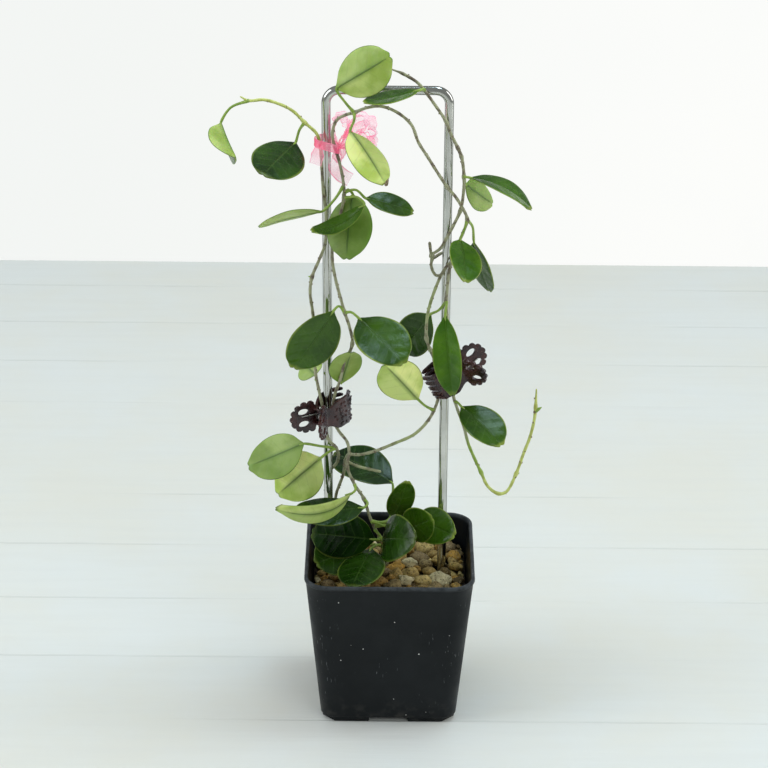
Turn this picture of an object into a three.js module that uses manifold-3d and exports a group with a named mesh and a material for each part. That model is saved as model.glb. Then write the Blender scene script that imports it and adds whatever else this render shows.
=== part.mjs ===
// A hoya plant in a square plastic nursery pot, trained over a bent steel hoop.
// Three leafy stems climb the hoop. Two small claw clips and an organza ribbon hold them to it.
// Millimetres, +Z up. The plant is laid out from the middle of the pot, on the surface that it stands on,
// and is moved at the end so that the origin is under the middle of the whole. The front faces -Y.
import * as THREE from 'three';
import { mergeVertices } from 'three/addons/utils/BufferGeometryUtils.js';
import Module from 'manifold-3d';

const wasm = await Module();
wasm.setup();

// Driving dimensions
const RIM_WIDTH = 90;
const BASE_WIDTH = 72.5;
const POT_HEIGHT = 86;
const WALL = 1.4;
const GAP = 0.3;
const FOOT_HEIGHT = 2.4;
const SOIL_TOP = 70.5;
const ROD_RADIUS = 2.3;
const HOOP_Y = 8;
const HOOP_TOP = 341.3;
const HOOP_CORNER = 7;
const STEM_RADIUS = 1.05;
const PETIOLE_RADIUS = 0.8;
const BLADE_THICKNESS = 0.9;

// Materials
const paint = (color, roughness, metalness = 0) =>
  new THREE.MeshStandardMaterial({ color, roughness, metalness });
const potPlastic = paint(0x15181c, 0.5);
const pumice = paint(0xa58f66, 0.95);
const steel = paint(0xc9cccb, 0.12, 1);
const leafGreen = paint(0x2f5a1c, 0.35);
const clipPlastic = paint(0x2b1614, 0.25);
const springSteel = paint(0xd8d8d4, 0.2, 1);
const organza = paint(0xf08db0, 0.6);

const model = new THREE.Group();

// Solids: a closed geometry becomes a solid that can be joined and cut, and goes back to a mesh
function solid(geometry) {
  const bare = geometry.clone();
  bare.deleteAttribute('normal');
  bare.deleteAttribute('uv');
  const merged = mergeVertices(bare, 1e-4);
  return new wasm.Manifold(new wasm.Mesh({
    numProp: 3,
    vertProperties: new Float32Array(merged.attributes.position.array),
    triVerts: new Uint32Array(merged.index.array),
  }));
}

const join = (solids) => solids.reduce((whole, next) => whole.add(next));

function add(name, body, material, parent = model) {
  const { vertProperties, triVerts } = body.getMesh();
  const geometry = new THREE.BufferGeometry();
  geometry.setAttribute('position', new THREE.BufferAttribute(vertProperties, 3));
  geometry.setIndex(new THREE.BufferAttribute(triVerts, 1));
  geometry.computeVertexNormals();
  const mesh = new THREE.Mesh(geometry, material);
  mesh.name = name;
  parent.add(mesh);
  return mesh;
}

// A repeatable random draw
function draws(seed) {
  let state = seed;
  return () => {
    state = (state * 1664525 + 1013904223) % 4294967296;
    return state / 4294967296;
  };
}

// Square rings with round corners, stacked and closed at both ends
function roundSquare(half, radius, z, steps = 4) {
  const ring = [];
  for (let corner = 0; corner < 4; corner += 1) {
    const cx = (half - radius) * (corner === 0 || corner === 3 ? 1 : -1);
    const cy = (half - radius) * (corner < 2 ? 1 : -1);
    for (let i = 0; i <= steps; i += 1) {
      const angle = (corner + i / steps) * Math.PI / 2;
      ring.push([cx + radius * Math.cos(angle), cy + radius * Math.sin(angle), z]);
    }
  }
  return ring;
}

function stack(rings) {
  const count = rings[0].length;
  const positions = rings.flat();
  const faces = [];
  for (let r = 0; r + 1 < rings.length; r += 1) {
    for (let i = 0; i < count; i += 1) {
      const a = r * count + i;
      const b = r * count + (i + 1) % count;
      faces.push(a, b, b + count, a, b + count, a + count);
    }
  }
  const last = (rings.length - 1) * count;
  for (let i = 1; i + 1 < count; i += 1) {
    faces.push(0, i + 1, i, last, last + i, last + i + 1);
  }
  const geometry = new THREE.BufferGeometry();
  geometry.setAttribute('position', new THREE.Float32BufferAttribute(positions.flat(), 3));
  geometry.setIndex(faces);
  return solid(geometry);
}

function tube(points, radius, spacing, sides) {
  const path = new THREE.CatmullRomCurve3(points.map((p) => new THREE.Vector3(...p)), false, 'centripetal');
  const section = new THREE.Shape();
  for (let i = 0; i < sides; i += 1) {
    const angle = i * 2 * Math.PI / sides;
    section[i ? 'lineTo' : 'moveTo'](radius * Math.cos(angle), radius * Math.sin(angle));
  }
  section.closePath();
  const steps = Math.max(3, Math.round(path.getLength() / spacing));
  return solid(new THREE.ExtrudeGeometry(section, { steps, bevelEnabled: false, extrudePath: path }));
}

function upright(radius, height, sides, x, y, z) {
  const geometry = new THREE.CylinderGeometry(radius, radius, height, sides);
  geometry.rotateX(Math.PI / 2);
  geometry.translate(x, y, z + height / 2);
  return solid(geometry);
}

// Pot: a tapered square shell with a thin lip, four corner feet and drain holes between them
const halfBase = BASE_WIDTH / 2;
const halfRim = RIM_WIDTH / 2;
const lipHeight = 2.2;
const lipStep = 0.7;
const halfNeck = halfRim - lipStep;
const floorTop = FOOT_HEIGHT + WALL;
const taper = (halfNeck - halfBase) / (POT_HEIGHT - lipHeight - FOOT_HEIGHT);
const outerHalf = (z) => halfBase + taper * (z - FOOT_HEIGHT);
const innerHalf = (z) => outerHalf(z) - WALL;
const innerCorner = (z) => 6.6 + 5 * (z - floorTop) / (POT_HEIGHT - floorTop);

function makePot() {
  const shell = stack([
    roundSquare(halfBase - 1.2, 7, FOOT_HEIGHT),
    roundSquare(outerHalf(FOOT_HEIGHT + 2), 8, FOOT_HEIGHT + 2),
    roundSquare(halfNeck, 12.5, POT_HEIGHT - lipHeight),
    roundSquare(halfRim, 13.2, POT_HEIGHT - lipHeight + 0.6),
    roundSquare(halfRim, 13.2, POT_HEIGHT - 0.5),
    roundSquare(halfRim - 0.5, 12.7, POT_HEIGHT),
    roundSquare(innerHalf(POT_HEIGHT), innerCorner(POT_HEIGHT), POT_HEIGHT),
    roundSquare(innerHalf(floorTop), innerCorner(floorTop), floorTop),
  ]);
  const feet = [];
  for (const [sx, sy] of [[1, 1], [-1, 1], [-1, -1], [1, -1]]) {
    const inner = 10.4;
    const outer = halfBase - 0.9;
    const cut = 28.6;
    const corners = [[inner, inner], [outer, inner], [outer, cut], [cut, outer], [inner, outer]];
    const outline = new THREE.Shape(corners.map(([x, y]) => new THREE.Vector2(x * sx, y * sy)));
    feet.push(solid(new THREE.ExtrudeGeometry(outline, { depth: FOOT_HEIGHT + 0.6, bevelEnabled: false })));
  }
  let pot = join([shell, ...feet]);
  for (const [x, y] of [[0, 22], [22, 0], [0, -22], [-22, 0], [0, 0]]) {
    pot = pot.subtract(upright(4, 8, 8, x, y, 0));
  }
  return pot;
}

add('pot', makePot(), potPlastic);

// Hoop: one rod bent to a U, its legs standing in the gravel nearly to the pot's floor
const HOOP_FOOT = 14;
const leftLeg = (z) => -32.35 - 0.0064 * (z - HOOP_FOOT);
const RIGHT_LEG = 28;

function hoopPath() {
  const top = HOOP_TOP;
  const shoulder = top - HOOP_CORNER;
  const left = leftLeg(shoulder);
  const right = RIGHT_LEG;
  const path = new THREE.CurvePath();
  const point = (x, z) => new THREE.Vector3(x, HOOP_Y, z);
  path.add(new THREE.LineCurve3(point(leftLeg(HOOP_FOOT), HOOP_FOOT), point(left, shoulder)));
  path.add(new THREE.QuadraticBezierCurve3(point(left, shoulder), point(left, top), point(left + HOOP_CORNER, top)));
  path.add(new THREE.LineCurve3(point(left + HOOP_CORNER, top), point(right - HOOP_CORNER, top)));
  path.add(new THREE.QuadraticBezierCurve3(point(right - HOOP_CORNER, top), point(right, top), point(right, shoulder)));
  path.add(new THREE.LineCurve3(point(right, shoulder), point(right, HOOP_FOOT)));
  return path;
}

function makeHoop() {
  const points = [];
  for (const curve of hoopPath().curves) {
    const pieces = curve instanceof THREE.LineCurve3 ? 1 : 5;
    for (let i = points.length ? 1 : 0; i <= pieces; i += 1) {
      points.push(curve.getPoint(i / pieces));
    }
  }
  const rings = points.map((p, i) => {
    const before = points[Math.max(i - 1, 0)];
    const after = points[Math.min(i + 1, points.length - 1)];
    const along = after.clone().sub(before).normalize();
    const across = new THREE.Vector3(0, 1, 0).cross(along);
    const ring = [];
    for (let k = 0; k < 10; k += 1) {
      const angle = k * Math.PI / 5;
      const out = across.clone().multiplyScalar(Math.cos(angle) * ROD_RADIUS);
      ring.push([p.x + out.x, p.y + Math.sin(angle) * ROD_RADIUS, p.z + out.z]);
    }
    return ring;
  });
  return stack(rings);
}

add('hoop_trellis', makeHoop(), steel);

// Leaf blade: a thin plate split alike on both faces, x across, y from base to tip, z out of the upper face.
// cup raises the two sides, and arch lifts the middle above the line from base to tip.
function blade(length, width, cup, arch) {
  const rows = 5;
  const columns = 4;
  const notch = 1.1;
  const half = (v) => 0.5 * width * Math.sin(Math.PI * (0.02 + 0.895 * v ** 0.93)) ** 0.72;
  const positions = [];
  for (const face of [1, -1]) {
    for (let i = 0; i <= rows; i += 1) {
      for (let j = 0; j <= columns; j += 1) {
        const v = i / rows;
        const u = 2 * j / columns - 1;
        const end = v ** 8;
        const x = u * half(v);
        const y = length * (v - 0.085 * end * u * u) - notch * end * Math.max(0, 1 - Math.abs(2 * u));
        const z = cup * half(v) * Math.abs(u) ** 1.5 + arch * length * 4 * v * (1 - v);
        const thick = BLADE_THICKNESS * (1 - 0.25 * u * u);
        positions.push(x, y, z + face * thick / 2);
      }
    }
  }
  const count = (rows + 1) * (columns + 1);
  const at = (i, j) => i * (columns + 1) + j;
  const faces = [];
  for (let i = 0; i < rows; i += 1) {
    for (let j = 0; j < columns; j += 1) {
      const [a, b, c, d] = [at(i, j), at(i, j + 1), at(i + 1, j + 1), at(i + 1, j)];
      const split = j < columns / 2 ? [[a, b, c], [a, c, d]] : [[a, b, d], [b, c, d]];
      for (const [p, q, r] of split) {
        faces.push(p, q, r, p + count, r + count, q + count);
      }
    }
  }
  const rim = [];
  for (let j = 0; j < columns; j += 1) rim.push(at(0, j));
  for (let i = 0; i < rows; i += 1) rim.push(at(i, columns));
  for (let j = columns; j > 0; j -= 1) rim.push(at(rows, j));
  for (let i = rows; i > 0; i -= 1) rim.push(at(i, 0));
  rim.forEach((a, k) => {
    const b = rim[(k + 1) % rim.length];
    faces.push(a, b + count, b, a, a + count, b + count);
  });
  const geometry = new THREE.BufferGeometry();
  geometry.setAttribute('position', new THREE.Float32BufferAttribute(positions, 3));
  geometry.setIndex(faces);
  return geometry;
}

// A leaf is its petiole's points, from the stem to the blade's base, then the tip, how far the upper face
// rolls about the blade's length (0 is as far up as it can look), the width, the cup and the arch.
function leaf([petiole, tip, roll, width, cup, arch]) {
  const base = new THREE.Vector3(...petiole[petiole.length - 1]);
  const along = new THREE.Vector3(...tip).sub(base);
  const length = along.length();
  along.normalize();
  const up = new THREE.Vector3(0, 0, 1).addScaledVector(along, -along.z).normalize();
  const side = along.clone().cross(up);
  const angle = THREE.MathUtils.degToRad(roll);
  const face = up.multiplyScalar(Math.cos(angle)).addScaledVector(side, Math.sin(angle));
  const place = new THREE.Matrix4().makeBasis(along.clone().cross(face), along, face).setPosition(base);
  const geometry = blade(length, width, cup, arch).applyMatrix4(place);
  const root = base.clone().addScaledVector(along, 2.2).toArray();
  return join([solid(geometry), tube([...petiole, root], PETIOLE_RADIUS, 6, 4)]);
}

function knob([x, y, z], radius) {
  const geometry = new THREE.OctahedronGeometry(radius, 0);
  geometry.translate(x, y, z);
  return solid(geometry);
}

function leafyStem({ route, nodes, leaves, shoots = [] }) {
  return join([
    tube(route, STEM_RADIUS, 7.5, 5),
    ...nodes.map((point) => knob(point, STEM_RADIUS * 1.6)),
    ...shoots.map((points) => tube(points, STEM_RADIUS * 0.8, 6, 4)),
    ...leaves.map(leaf),
  ]);
}

// The main stem: from the soil by the first clip, up the left leg, over to the right leg, down it
// through the second clip, and out in the bare shoot that hangs and turns up at the right
const mainStem = {
  route: [
    [-1.5, 11, 63], [-1.5, 11, 76], [-4.5, 9, 86], [-10.5, 5, 101.5], [-14, 2.5, 114.5], [-19, 0.5, 124],
    [-23, -1, 135.5], [-22, -1, 143], [-23, 0, 149], [-27.5, 3, 154], [-29.9, 4.3, 158.5], [-30.2, 4.4, 166],
    [-29.8, 4.3, 174], [-27, 2.8, 183], [-24.5, 1, 194.5], [-20.5, 0, 205.5], [-22, 0, 215], [-24.5, 0, 223],
    [-26.5, 1, 230], [-29.5, 2.5, 241.5], [-31, 3.2, 251.5], [-30.5, 3.3, 262], [-28, 3, 273],
    [-25, 1, 286], [-25.5, 1, 295], [-27.5, 2, 305], [-30, 3.2, 313], [-31, 3.2, 319.5], [-29, 2, 327],
    [-24.5, 0.5, 330.5], [-20, 0, 332], [-14, 0, 334.5], [-8, 0, 335.5], [-3, 0, 334.5], [3.5, 0, 331],
    [9, 0, 325.5], [12.5, 0, 316.5], [17.5, 1, 308], [23, 2.5, 298.5], [27.5, 2.8, 291.5],
    [31.5, 2, 287], [35, 1.5, 281.5], [38, 2.5, 274], [36, 2.5, 267], [34, 1.5, 262], [31.5, 0.5, 255],
    [29.5, 0.8, 248], [28.5, 1.5, 238], [28, 2.5, 228.5], [28.8, 3, 218], [31.2, 6, 206],
    [31.9, 7.4, 196], [31.9, 7.4, 181], [32.5, 5.8, 174.5], [35, 3, 167], [38, 1, 159.5],
    [41, 0, 148.5], [44, 0, 141], [48, 0, 132], [52, 0, 123.5], [57.5, 0, 119.5], [61.5, 0, 120.5],
    [66.5, 0, 131], [70, 0, 142.5], [73.5, 0, 153.5], [75.5, 0, 164.5], [76, 0, 180.5],
  ],
  nodes: [
    [-14, 2.5, 114.5], [-23, -1, 135.5], [-20.5, 0, 205.5], [-24.5, 0, 223], [-25, 1, 286], [-20, 0, 332],
    [27.5, 2.8, 291.5], [38, 2.5, 274], [28, 2.5, 228.5], [48, 0, 132], [57.5, 0, 119.5], [66.5, 0, 131],
    [76, 0, 170],
  ],
  leaves: [
    // round the top of the left leg
    [[[-20, 0, 332], [-24, -1, 337], [-29, -1, 345]], [-1.5, -6, 364], -110, 25, 0.14, 0.02],
    [[[-20, 0, 332], [-20, -3, 329], [-22, -3, 323]], [-4, -24, 302], 180, 21, 0.15, -0.03],
    [[[-25.5, 1, 292], [-30, -2.5, 286], [-36, -3, 280]], [-69, -6, 272], 34, 20, 0.1, 0.03],
    [[[-25, 1, 286], [-18, -4, 288], [-14.5, -7, 285.3]], [-42, -14, 273], -14, 13.5, 0.12, -0.15],
    [[[-25, 1, 288], [-23, 3.5, 289.5], [-20.5, 4, 286.5]], [-23.5, -14, 257.5], 190, 24.5, 0.08, -0.03],
    [[[-25, 1, 289], [-19, 3, 289.5], [-14, 3, 285]], [11, 4, 277], 25, 15, 0.1, 0.03],
    // right leg, above the second clip
    [[[38, 2.5, 274], [36.5, 1, 269], [34.5, 0, 264]], [37, -25, 250], -25, 19, 0.2, 0.04],
    [[[38, 2.5, 274], [41, 8, 268], [42, 12, 258]], [51, 17, 228], 170, 18, 0.05, 0.02],
    [[[28, 2.5, 228.5], [24, 4, 223], [20, 6, 220]], [6, 20, 192], -100, 21, 0.08, 0.03],
    [[[28, 2.5, 228.5], [28, -2, 228], [27.5, -4, 223.5]], [32, -14, 182], 45, 16, 0.3, 0.02],
    [[[33.6, 4.6, 171], [35, 3, 171], [37, 0, 170]], [58, -19, 156], 10, 23, 0.15, 0.04],
    // left leg, above and below the first clip
    [[[-24.5, 0, 223], [-21, -2, 224], [-17, -3, 221]], [6.5, -25, 204.5], 15, 29, 0.1, 0.03],
    [[[-24.5, 0, 223], [-27.5, -1, 227], [-30.5, -2, 224.5]], [-51.5, -3, 192], -110, 28, 0.1, 0.02],
    [[[-27, 2.8, 183], [-26.8, 5.4, 181], [-26.5, 6, 180]], [-21, -2, 202], -15, 18, 0.1, 0.02],
    // at the foot of the main stem
    [[[-19, 0.5, 124], [-18.5, -2, 122], [-21, -3, 120]], [-60.9, -22, 120.2], 77, 13, -0.1, -0.22],
    [[[-14, 2.5, 114.5], [-12, 0, 113], [-14, -3, 112]], [-52, -13.2, 114], -15, 23, -0.05, -0.02],
    [[[-8, 6.5, 96], [0, 9, 100], [1, 12.5, 108], [1, 14, 118.5]], [-32, 33, 126.3], -15, 27, 0.12, 0.06],
    [[[-10, 5, 100], [-4, 6, 99], [1.8, 8, 100.6]], [9.2, -5, 129.5], 155, 14.3, 0.12, 0.02],
    [[[-8, 6.5, 94], [-5, 5, 91], [-4, 3, 90]], [14, -27, 105], 65, 26, 0.02, 0.12],
    [[[-10, 5, 100], [-2, 5, 97], [8, 4, 95]], [23, -12, 111], 95, 20, 0.1, 0.03],
    [[[-8, 6.5, 96], [4, 11, 96], [14, 12, 99]], [35, -12, 100], 55, 20, 0.12, 0.06],
    [[[-6, 8, 88], [-5, 4, 89], [-8, 1, 91]], [-42, -17, 103.7], -80, 25.5, 0.02, -0.03],
    [[[-4, 9, 83], [-6, 5, 86], [-10, 0, 86]], [-19.8, -36, 81.5], 2, 25, -0.08, 0.01],
    [[[-4, 9, 83], [-9, 7, 85], [-15, 3, 85.5]], [-40, -13, 83], -35, 25, 0.02, 0.02],
  ],
  shoots: [[[-25, 1, 288], [-26, 0, 281], [-27, -1, 277]]],
};

// The left stem: from the soil behind the left leg, through the first clip and the ribbon, to the tip
// that reaches out at the upper left
const leftStem = {
  route: [
    [-34.3, 12.4, 63], [-34.3, 12.4, 97], [-33.3, 13, 124], [-28.8, 12, 131], [-27.8, 8, 138], [-29, 4.2, 143.5],
    [-33.5, 3, 150], [-35.8, 3.9, 157], [-36.1, 4.1, 167], [-38, 4, 177], [-40, 4, 188.5], [-40.5, 4.5, 202.5],
    [-41, 5, 219], [-42.5, 4, 232.5], [-41.5, 3, 241.5], [-38, 3, 250.5], [-35, 3.3, 258.5],
    [-34.2, 2, 266], [-34.2, 2, 277], [-35.5, 2.5, 287], [-36.3, 2, 300.5], [-37, 1.8, 311.5],
    [-38.8, 1, 320], [-45, 0, 326.5], [-51, -1, 333], [-58, -2, 337], [-65.5, -2, 339], [-73, -2, 338.5],
    [-77, -2, 340.5],
  ],
  nodes: [[-29, 4.2, 143.5], [-41.5, 3, 241.5], [-45, 0, 326.5], [-73, -2, 338.5]],
  leaves: [
    [[[-45, 0, 326.5], [-47.5, -1, 323], [-49.5, -2, 316.5]], [-64.9, -40, 312.3], -22, 26, -0.1, 0.01],
    [[[-73, -2, 338.5], [-82, -3, 335], [-87, -4, 327]], [-78, -31, 318], 130, 18, 0.6, 0.02],
    [[[-29, 4.2, 143.5], [-37, 0, 146.5], [-46, -2.5, 149]], [-76, 1, 133.5], 135, 25, 0.12, 0.02],
    [[[-29, 4.2, 143.5], [-33, 0, 143], [-37, -1, 140]], [-60.5, 4, 115.5], 105, 26, 0.12, 0.02],
    [[[-39.3, 4, 183], [-39.5, 8, 184], [-40, 13, 182]], [-47, 33, 180], 145, 15, 0.1, 0.02],
  ],
};

// The right stem: from the soil behind the left leg, across the hoop to the second clip, up and once
// round the right leg, to the tip above the top bar
const rightStem = {
  route: [
    [-30.4, 12.4, 63], [-30.4, 12.4, 97], [-29, 12.4, 112], [-25, 10, 126], [-24.2, 6.6, 135],
    [-22, 3.4, 140], [-16.5, 1.5, 141], [-9.5, 1, 143], [2, 0, 148.5], [12.5, 0, 154], [19.5, 2, 161],
    [23.3, 6.6, 166.5], [24.9, 9.8, 171.5], [25, 9.8, 180], [24.5, 8.7, 188],
    [22.4, 4.5, 195], [20, 1.4, 202], [18, 0, 209], [18, 0, 218], [19, 1, 225], [21.5, 2.5, 233.5],
    [26, 4, 244.5], [30, 4.2, 250], [33, 8, 251.5], [30, 12, 253], [25, 12.2, 251.5], [21, 9.5, 250],
    [20, 6, 253], [24.5, 4, 257.5], [27.5, 4, 263], [31, 4.5, 270], [34.5, 6.5, 277.5], [36, 7, 288],
    [36, 6, 296], [35.5, 6, 301.5], [34.5, 5.5, 307], [32.5, 5, 312], [28.5, 4, 320.5], [26.5, 4, 326],
    [21, 4, 334.5], [15, 3.6, 343], [11.5, 3.6, 347], [4, 4, 351.5], [-1.5, 4.5, 353.5],
  ],
  nodes: [
    [-22, 3.4, 140], [18, 0, 209], [20, 1.4, 202], [20, 6, 253], [34.5, 6.5, 277.5], [36, 6, 296],
    [34.5, 5.5, 307], [32.5, 5, 312], [26.5, 4, 326], [4, 4, 351.5],
  ],
  leaves: [
    [[[15, 3.6, 343], [14.5, 1, 344.5], [12.5, -4.5, 345.5]], [-16, -9, 340.3], 0, 19, 0.08, -0.03],
    [[[36, 6, 296], [37, 3, 297], [39, 2, 297]], [71, -4, 282], 0, 20, 0.1, 0.1],
    [[[36, 6, 296], [36.5, 9, 294], [37, 11, 290]], [52, 25, 274], -110, 16, 0.1, 0.02],
    [[[22.3, 5.6, 165.5], [18, 3, 169], [14, 1.5, 173.5]], [-4, -9.5, 198.5], 70, 23, 0.08, 0.03],
  ],
  shoots: [
    [[-24.2, 7, 135], [-18, 5.5, 132.5], [-12, 4.5, 131.3], [-5.5, 4, 130]],
    [[20, 6, 252], [19, 5.5, 260]],
    [[20.5, 7, 251], [20, 6, 247], [22.5, 5.5, 242], [25, 5.5, 242]],
  ],
};

add('main_leafy_stem', leafyStem(mainStem), leafGreen);
add('left_leafy_stem', leafyStem(leftStem), leafGreen);
add('right_leafy_stem', leafyStem(rightStem), leafGreen);

// Growing medium: gravel in the pot up to a few millimetres below the rim, larger pebbles on top, and a
// plain hole for each thing that stands in it
function makeMedium() {
  const clear = GAP;
  const bottom = floorTop + GAP;
  const fill = stack([
    roundSquare(innerHalf(bottom) - clear, innerCorner(bottom) - clear, bottom),
    roundSquare(innerHalf(SOIL_TOP) - clear, innerCorner(SOIL_TOP) - clear, SOIL_TOP),
  ]);
  const random = draws(7);
  const pebbles = [];
  const pitch = 11;
  const reach = 3;
  for (let row = -reach; row <= reach; row += 1) {
    for (let column = -reach; column <= reach; column += 1) {
      const size = 4.3 + 1.6 * random();
      const x = (column + 0.5 * (row % 2) + 0.3 * (random() - 0.5)) * pitch;
      const y = (row + 0.3 * (random() - 0.5)) * pitch;
      const spread = Math.hypot(x, y);
      const limit = (innerHalf(SOIL_TOP) - 1.15 * size - 1) * (spread > 40 ? 0.86 : 1);
      const stone = new THREE.IcosahedronGeometry(size, 0);
      stone.scale(1.15, 0.95, 0.75);
      stone.rotateZ(random() * Math.PI);
      const px = THREE.MathUtils.clamp(x, -limit, limit);
      const py = THREE.MathUtils.clamp(y, -limit, limit);
      stone.translate(px, py, SOIL_TOP + 0.9 * random());
      pebbles.push(solid(stone));
    }
  }
  let medium = join([fill, ...pebbles]);
  medium = medium.subtract(upright(ROD_RADIUS + 0.8, 90, 10, leftLeg(40), HOOP_Y, HOOP_FOOT - 1));
  medium = medium.subtract(upright(ROD_RADIUS + 0.8, 90, 10, RIGHT_LEG, HOOP_Y, HOOP_FOOT - 1));
  for (const stem of [mainStem, leftStem, rightStem]) {
    const [x, y, z] = stem.route[0];
    medium = medium.subtract(upright(STEM_RADIUS + 0.7, 90, 8, x, y, z - 1));
  }
  return medium;
}

add('growing_medium', makeMedium(), pumice);

// Claw clip: x along the hinge pin, y across the opening, z towards the finger wings. Each lever is its
// bent side profile, cut to its outline seen from in front, with two ears for the pin.
const CLIP_PLATE = 1.4;
const PIN_RADIUS = 0.8;
const EAR_RADIUS = 1.9;

function leverOutline() {
  const points = [];
  const beads = 9;
  const perBead = 2;
  for (let i = 0; i <= beads * perBead; i += 1) {
    const angle = THREE.MathUtils.degToRad(-25 + 230 * i / (beads * perBead));
    const radius = 7.9 + 1.2 * Math.abs(Math.sin(Math.PI * i / perBead));
    points.push([radius * Math.cos(angle), 4 + radius * Math.sin(angle)]);
  }
  points.push([-5.2, 0], [-5.4, -2.5], [-8, -6], [-8, -14]);
  const teeth = 5;
  const pitch = 3.5;
  for (let k = 0; k < teeth; k += 1) {
    const centre = (k - (teeth - 1) / 2) * pitch;
    points.push([centre - 1, -14], [centre - 0.8, -20.3], [centre + 0.8, -20.3], [centre + 1, -14]);
  }
  points.push([8, -14], [8, -6], [5.4, -2.5], [5.2, 0]);
  return points.filter(([x, z], i) => i === 0 || x !== points[i - 1][0] || z !== points[i - 1][1]);
}

function leverPlate() {
  const outline = new THREE.Shape(leverOutline().map(([x, z]) => new THREE.Vector2(x, -z)));
  for (const [x, z, r] of [[-3.6, 6.4, 1.9], [3.6, 6.4, 1.9]]) {
    outline.holes.push(new THREE.Path().absellipse(x, -z, r, r * 1.3, 0, 2 * Math.PI));
  }
  const face = new THREE.ExtrudeGeometry(outline, { depth: 15, bevelEnabled: false, curveSegments: 2 });
  face.rotateX(-Math.PI / 2);
  const line = new THREE.SplineCurve([
    [10.3, 13.2], [8.2, 9], [5.4, 4], [3.8, 0], [5.2, -3.5], [6.1, -7.5], [6.1, -12.5], [5, -17], [1.6, -20.5],
  ].map(([y, z]) => new THREE.Vector2(y, z)));
  const inside = [];
  const outside = [];
  const pieces = 9;
  for (let i = 0; i <= pieces; i += 1) {
    const p = line.getPoint(i / pieces);
    const t = line.getTangent(i / pieces);
    inside.push(new THREE.Vector2(p.x + t.y * CLIP_PLATE / 2, p.y - t.x * CLIP_PLATE / 2));
    outside.unshift(new THREE.Vector2(p.x - t.y * CLIP_PLATE / 2, p.y + t.x * CLIP_PLATE / 2));
  }
  const profile = new THREE.ExtrudeGeometry(new THREE.Shape([...inside, ...outside]), { depth: 24, bevelEnabled: false });
  profile.applyMatrix4(new THREE.Matrix4().set(0, 0, 1, -12, 1, 0, 0, 0, 0, 1, 0, 0, 0, 0, 0, 1));
  return solid(face).intersect(solid(profile));
}

function ears(places) {
  return places.map((x) => {
    const outline = new THREE.Shape();
    outline.moveTo(0, -EAR_RADIUS).lineTo(4, -EAR_RADIUS).lineTo(4, EAR_RADIUS).lineTo(0, EAR_RADIUS);
    outline.absarc(0, 0, EAR_RADIUS, Math.PI / 2, 3 * Math.PI / 2);
    outline.holes.push(new THREE.Path().absarc(0, 0, PIN_RADIUS + 0.48, 0, 2 * Math.PI));
    const plate = new THREE.ExtrudeGeometry(outline, { depth: 1, bevelEnabled: false, curveSegments: 3 });
    plate.applyMatrix4(new THREE.Matrix4().set(0, 0, 1, x - 0.5, 1, 0, 0, 0, 0, 1, 0, 0, 0, 0, 0, 1));
    return solid(plate);
  });
}

function springWire() {
  const coil = 1.55;
  const wire = 0.3;
  const turns = 3;
  const length = 3;
  const points = [[-length / 2, -6.2, 8], [-length / 2, -3.3, 3.4]];
  for (let i = 0; i <= turns * 8 + 6; i += 1) {
    const angle = -Math.PI * 0.75 + i * Math.PI / 4;
    const x = -length / 2 + length * i / (turns * 8 + 6);
    points.push([x, coil * Math.cos(angle + Math.PI), coil * Math.sin(angle + Math.PI)]);
  }
  points.push([length / 2, 3.3, 3.4], [length / 2, 6.2, 8]);
  return tube(points, wire, 1.5, 4);
}

function makeClip(name, centre, wings, backwards) {
  const z = new THREE.Vector3(...wings).normalize();
  const y = new THREE.Vector3(...backwards);
  y.addScaledVector(z, -z.dot(y)).normalize();
  const x = y.clone().cross(z);
  const clip = new THREE.Group();
  clip.applyMatrix4(new THREE.Matrix4().makeBasis(x, y, z).setPosition(...centre));
  model.add(clip);
  const plate = leverPlate();
  const back = join([plate, ...ears([-4.4, 4.4])]);
  const front = join([plate.rotate([0, 0, 180]), ...ears([-3.1, 3.1]).map((ear) => ear.rotate([0, 0, 180]))]);
  add(`${name}_back_lever`, back, clipPlastic, clip);
  add(`${name}_front_lever`, front, clipPlastic, clip);
  add(`${name}_spring`, springWire(), springSteel, clip);
  const pin = new THREE.CylinderGeometry(PIN_RADIUS, PIN_RADIUS, 10.4, 8);
  pin.rotateZ(Math.PI / 2);
  add(`${name}_pin`, solid(pin), springSteel, clip);
  clip.updateMatrixWorld(true);
}

makeClip('left_clip', [-36.8, -0.5, 164], [-0.62, -0.75, -0.1], [-0.77, 0.64, 0]);
makeClip('right_clip', [37.5, 6.3, 188.6], [0.83, -0.1, 0.47], [0, 0.98, 0.2]);

// Ribbon: a slanting band drawn tight round the left leg and the two stems beside it, with a knot behind
// them, two loops that stand out to the right and two tails that hang
const RIBBON_THICKNESS = 0.8;
const knotPoint = [-27.5, 6.2, 311];

function hullOutline(circles, offset) {
  const points = [];
  for (const [x, y, radius] of circles) {
    for (let i = 0; i < 12; i += 1) {
      const angle = i * Math.PI / 6;
      points.push([x + (radius + offset) * Math.cos(angle), y + (radius + offset) * Math.sin(angle)]);
    }
  }
  points.sort((p, q) => p[0] - q[0] || p[1] - q[1]);
  const turn = (o, p, q) => (p[0] - o[0]) * (q[1] - o[1]) - (p[1] - o[1]) * (q[0] - o[0]);
  const half = (list) => {
    const chain = [];
    for (const point of list) {
      while (chain.length > 1 && turn(chain[chain.length - 2], chain[chain.length - 1], point) <= 0) chain.pop();
      chain.push(point);
    }
    chain.pop();
    return chain;
  };
  return [...half(points), ...half([...points].reverse())].map(([x, y]) => new THREE.Vector2(x, y));
}

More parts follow.
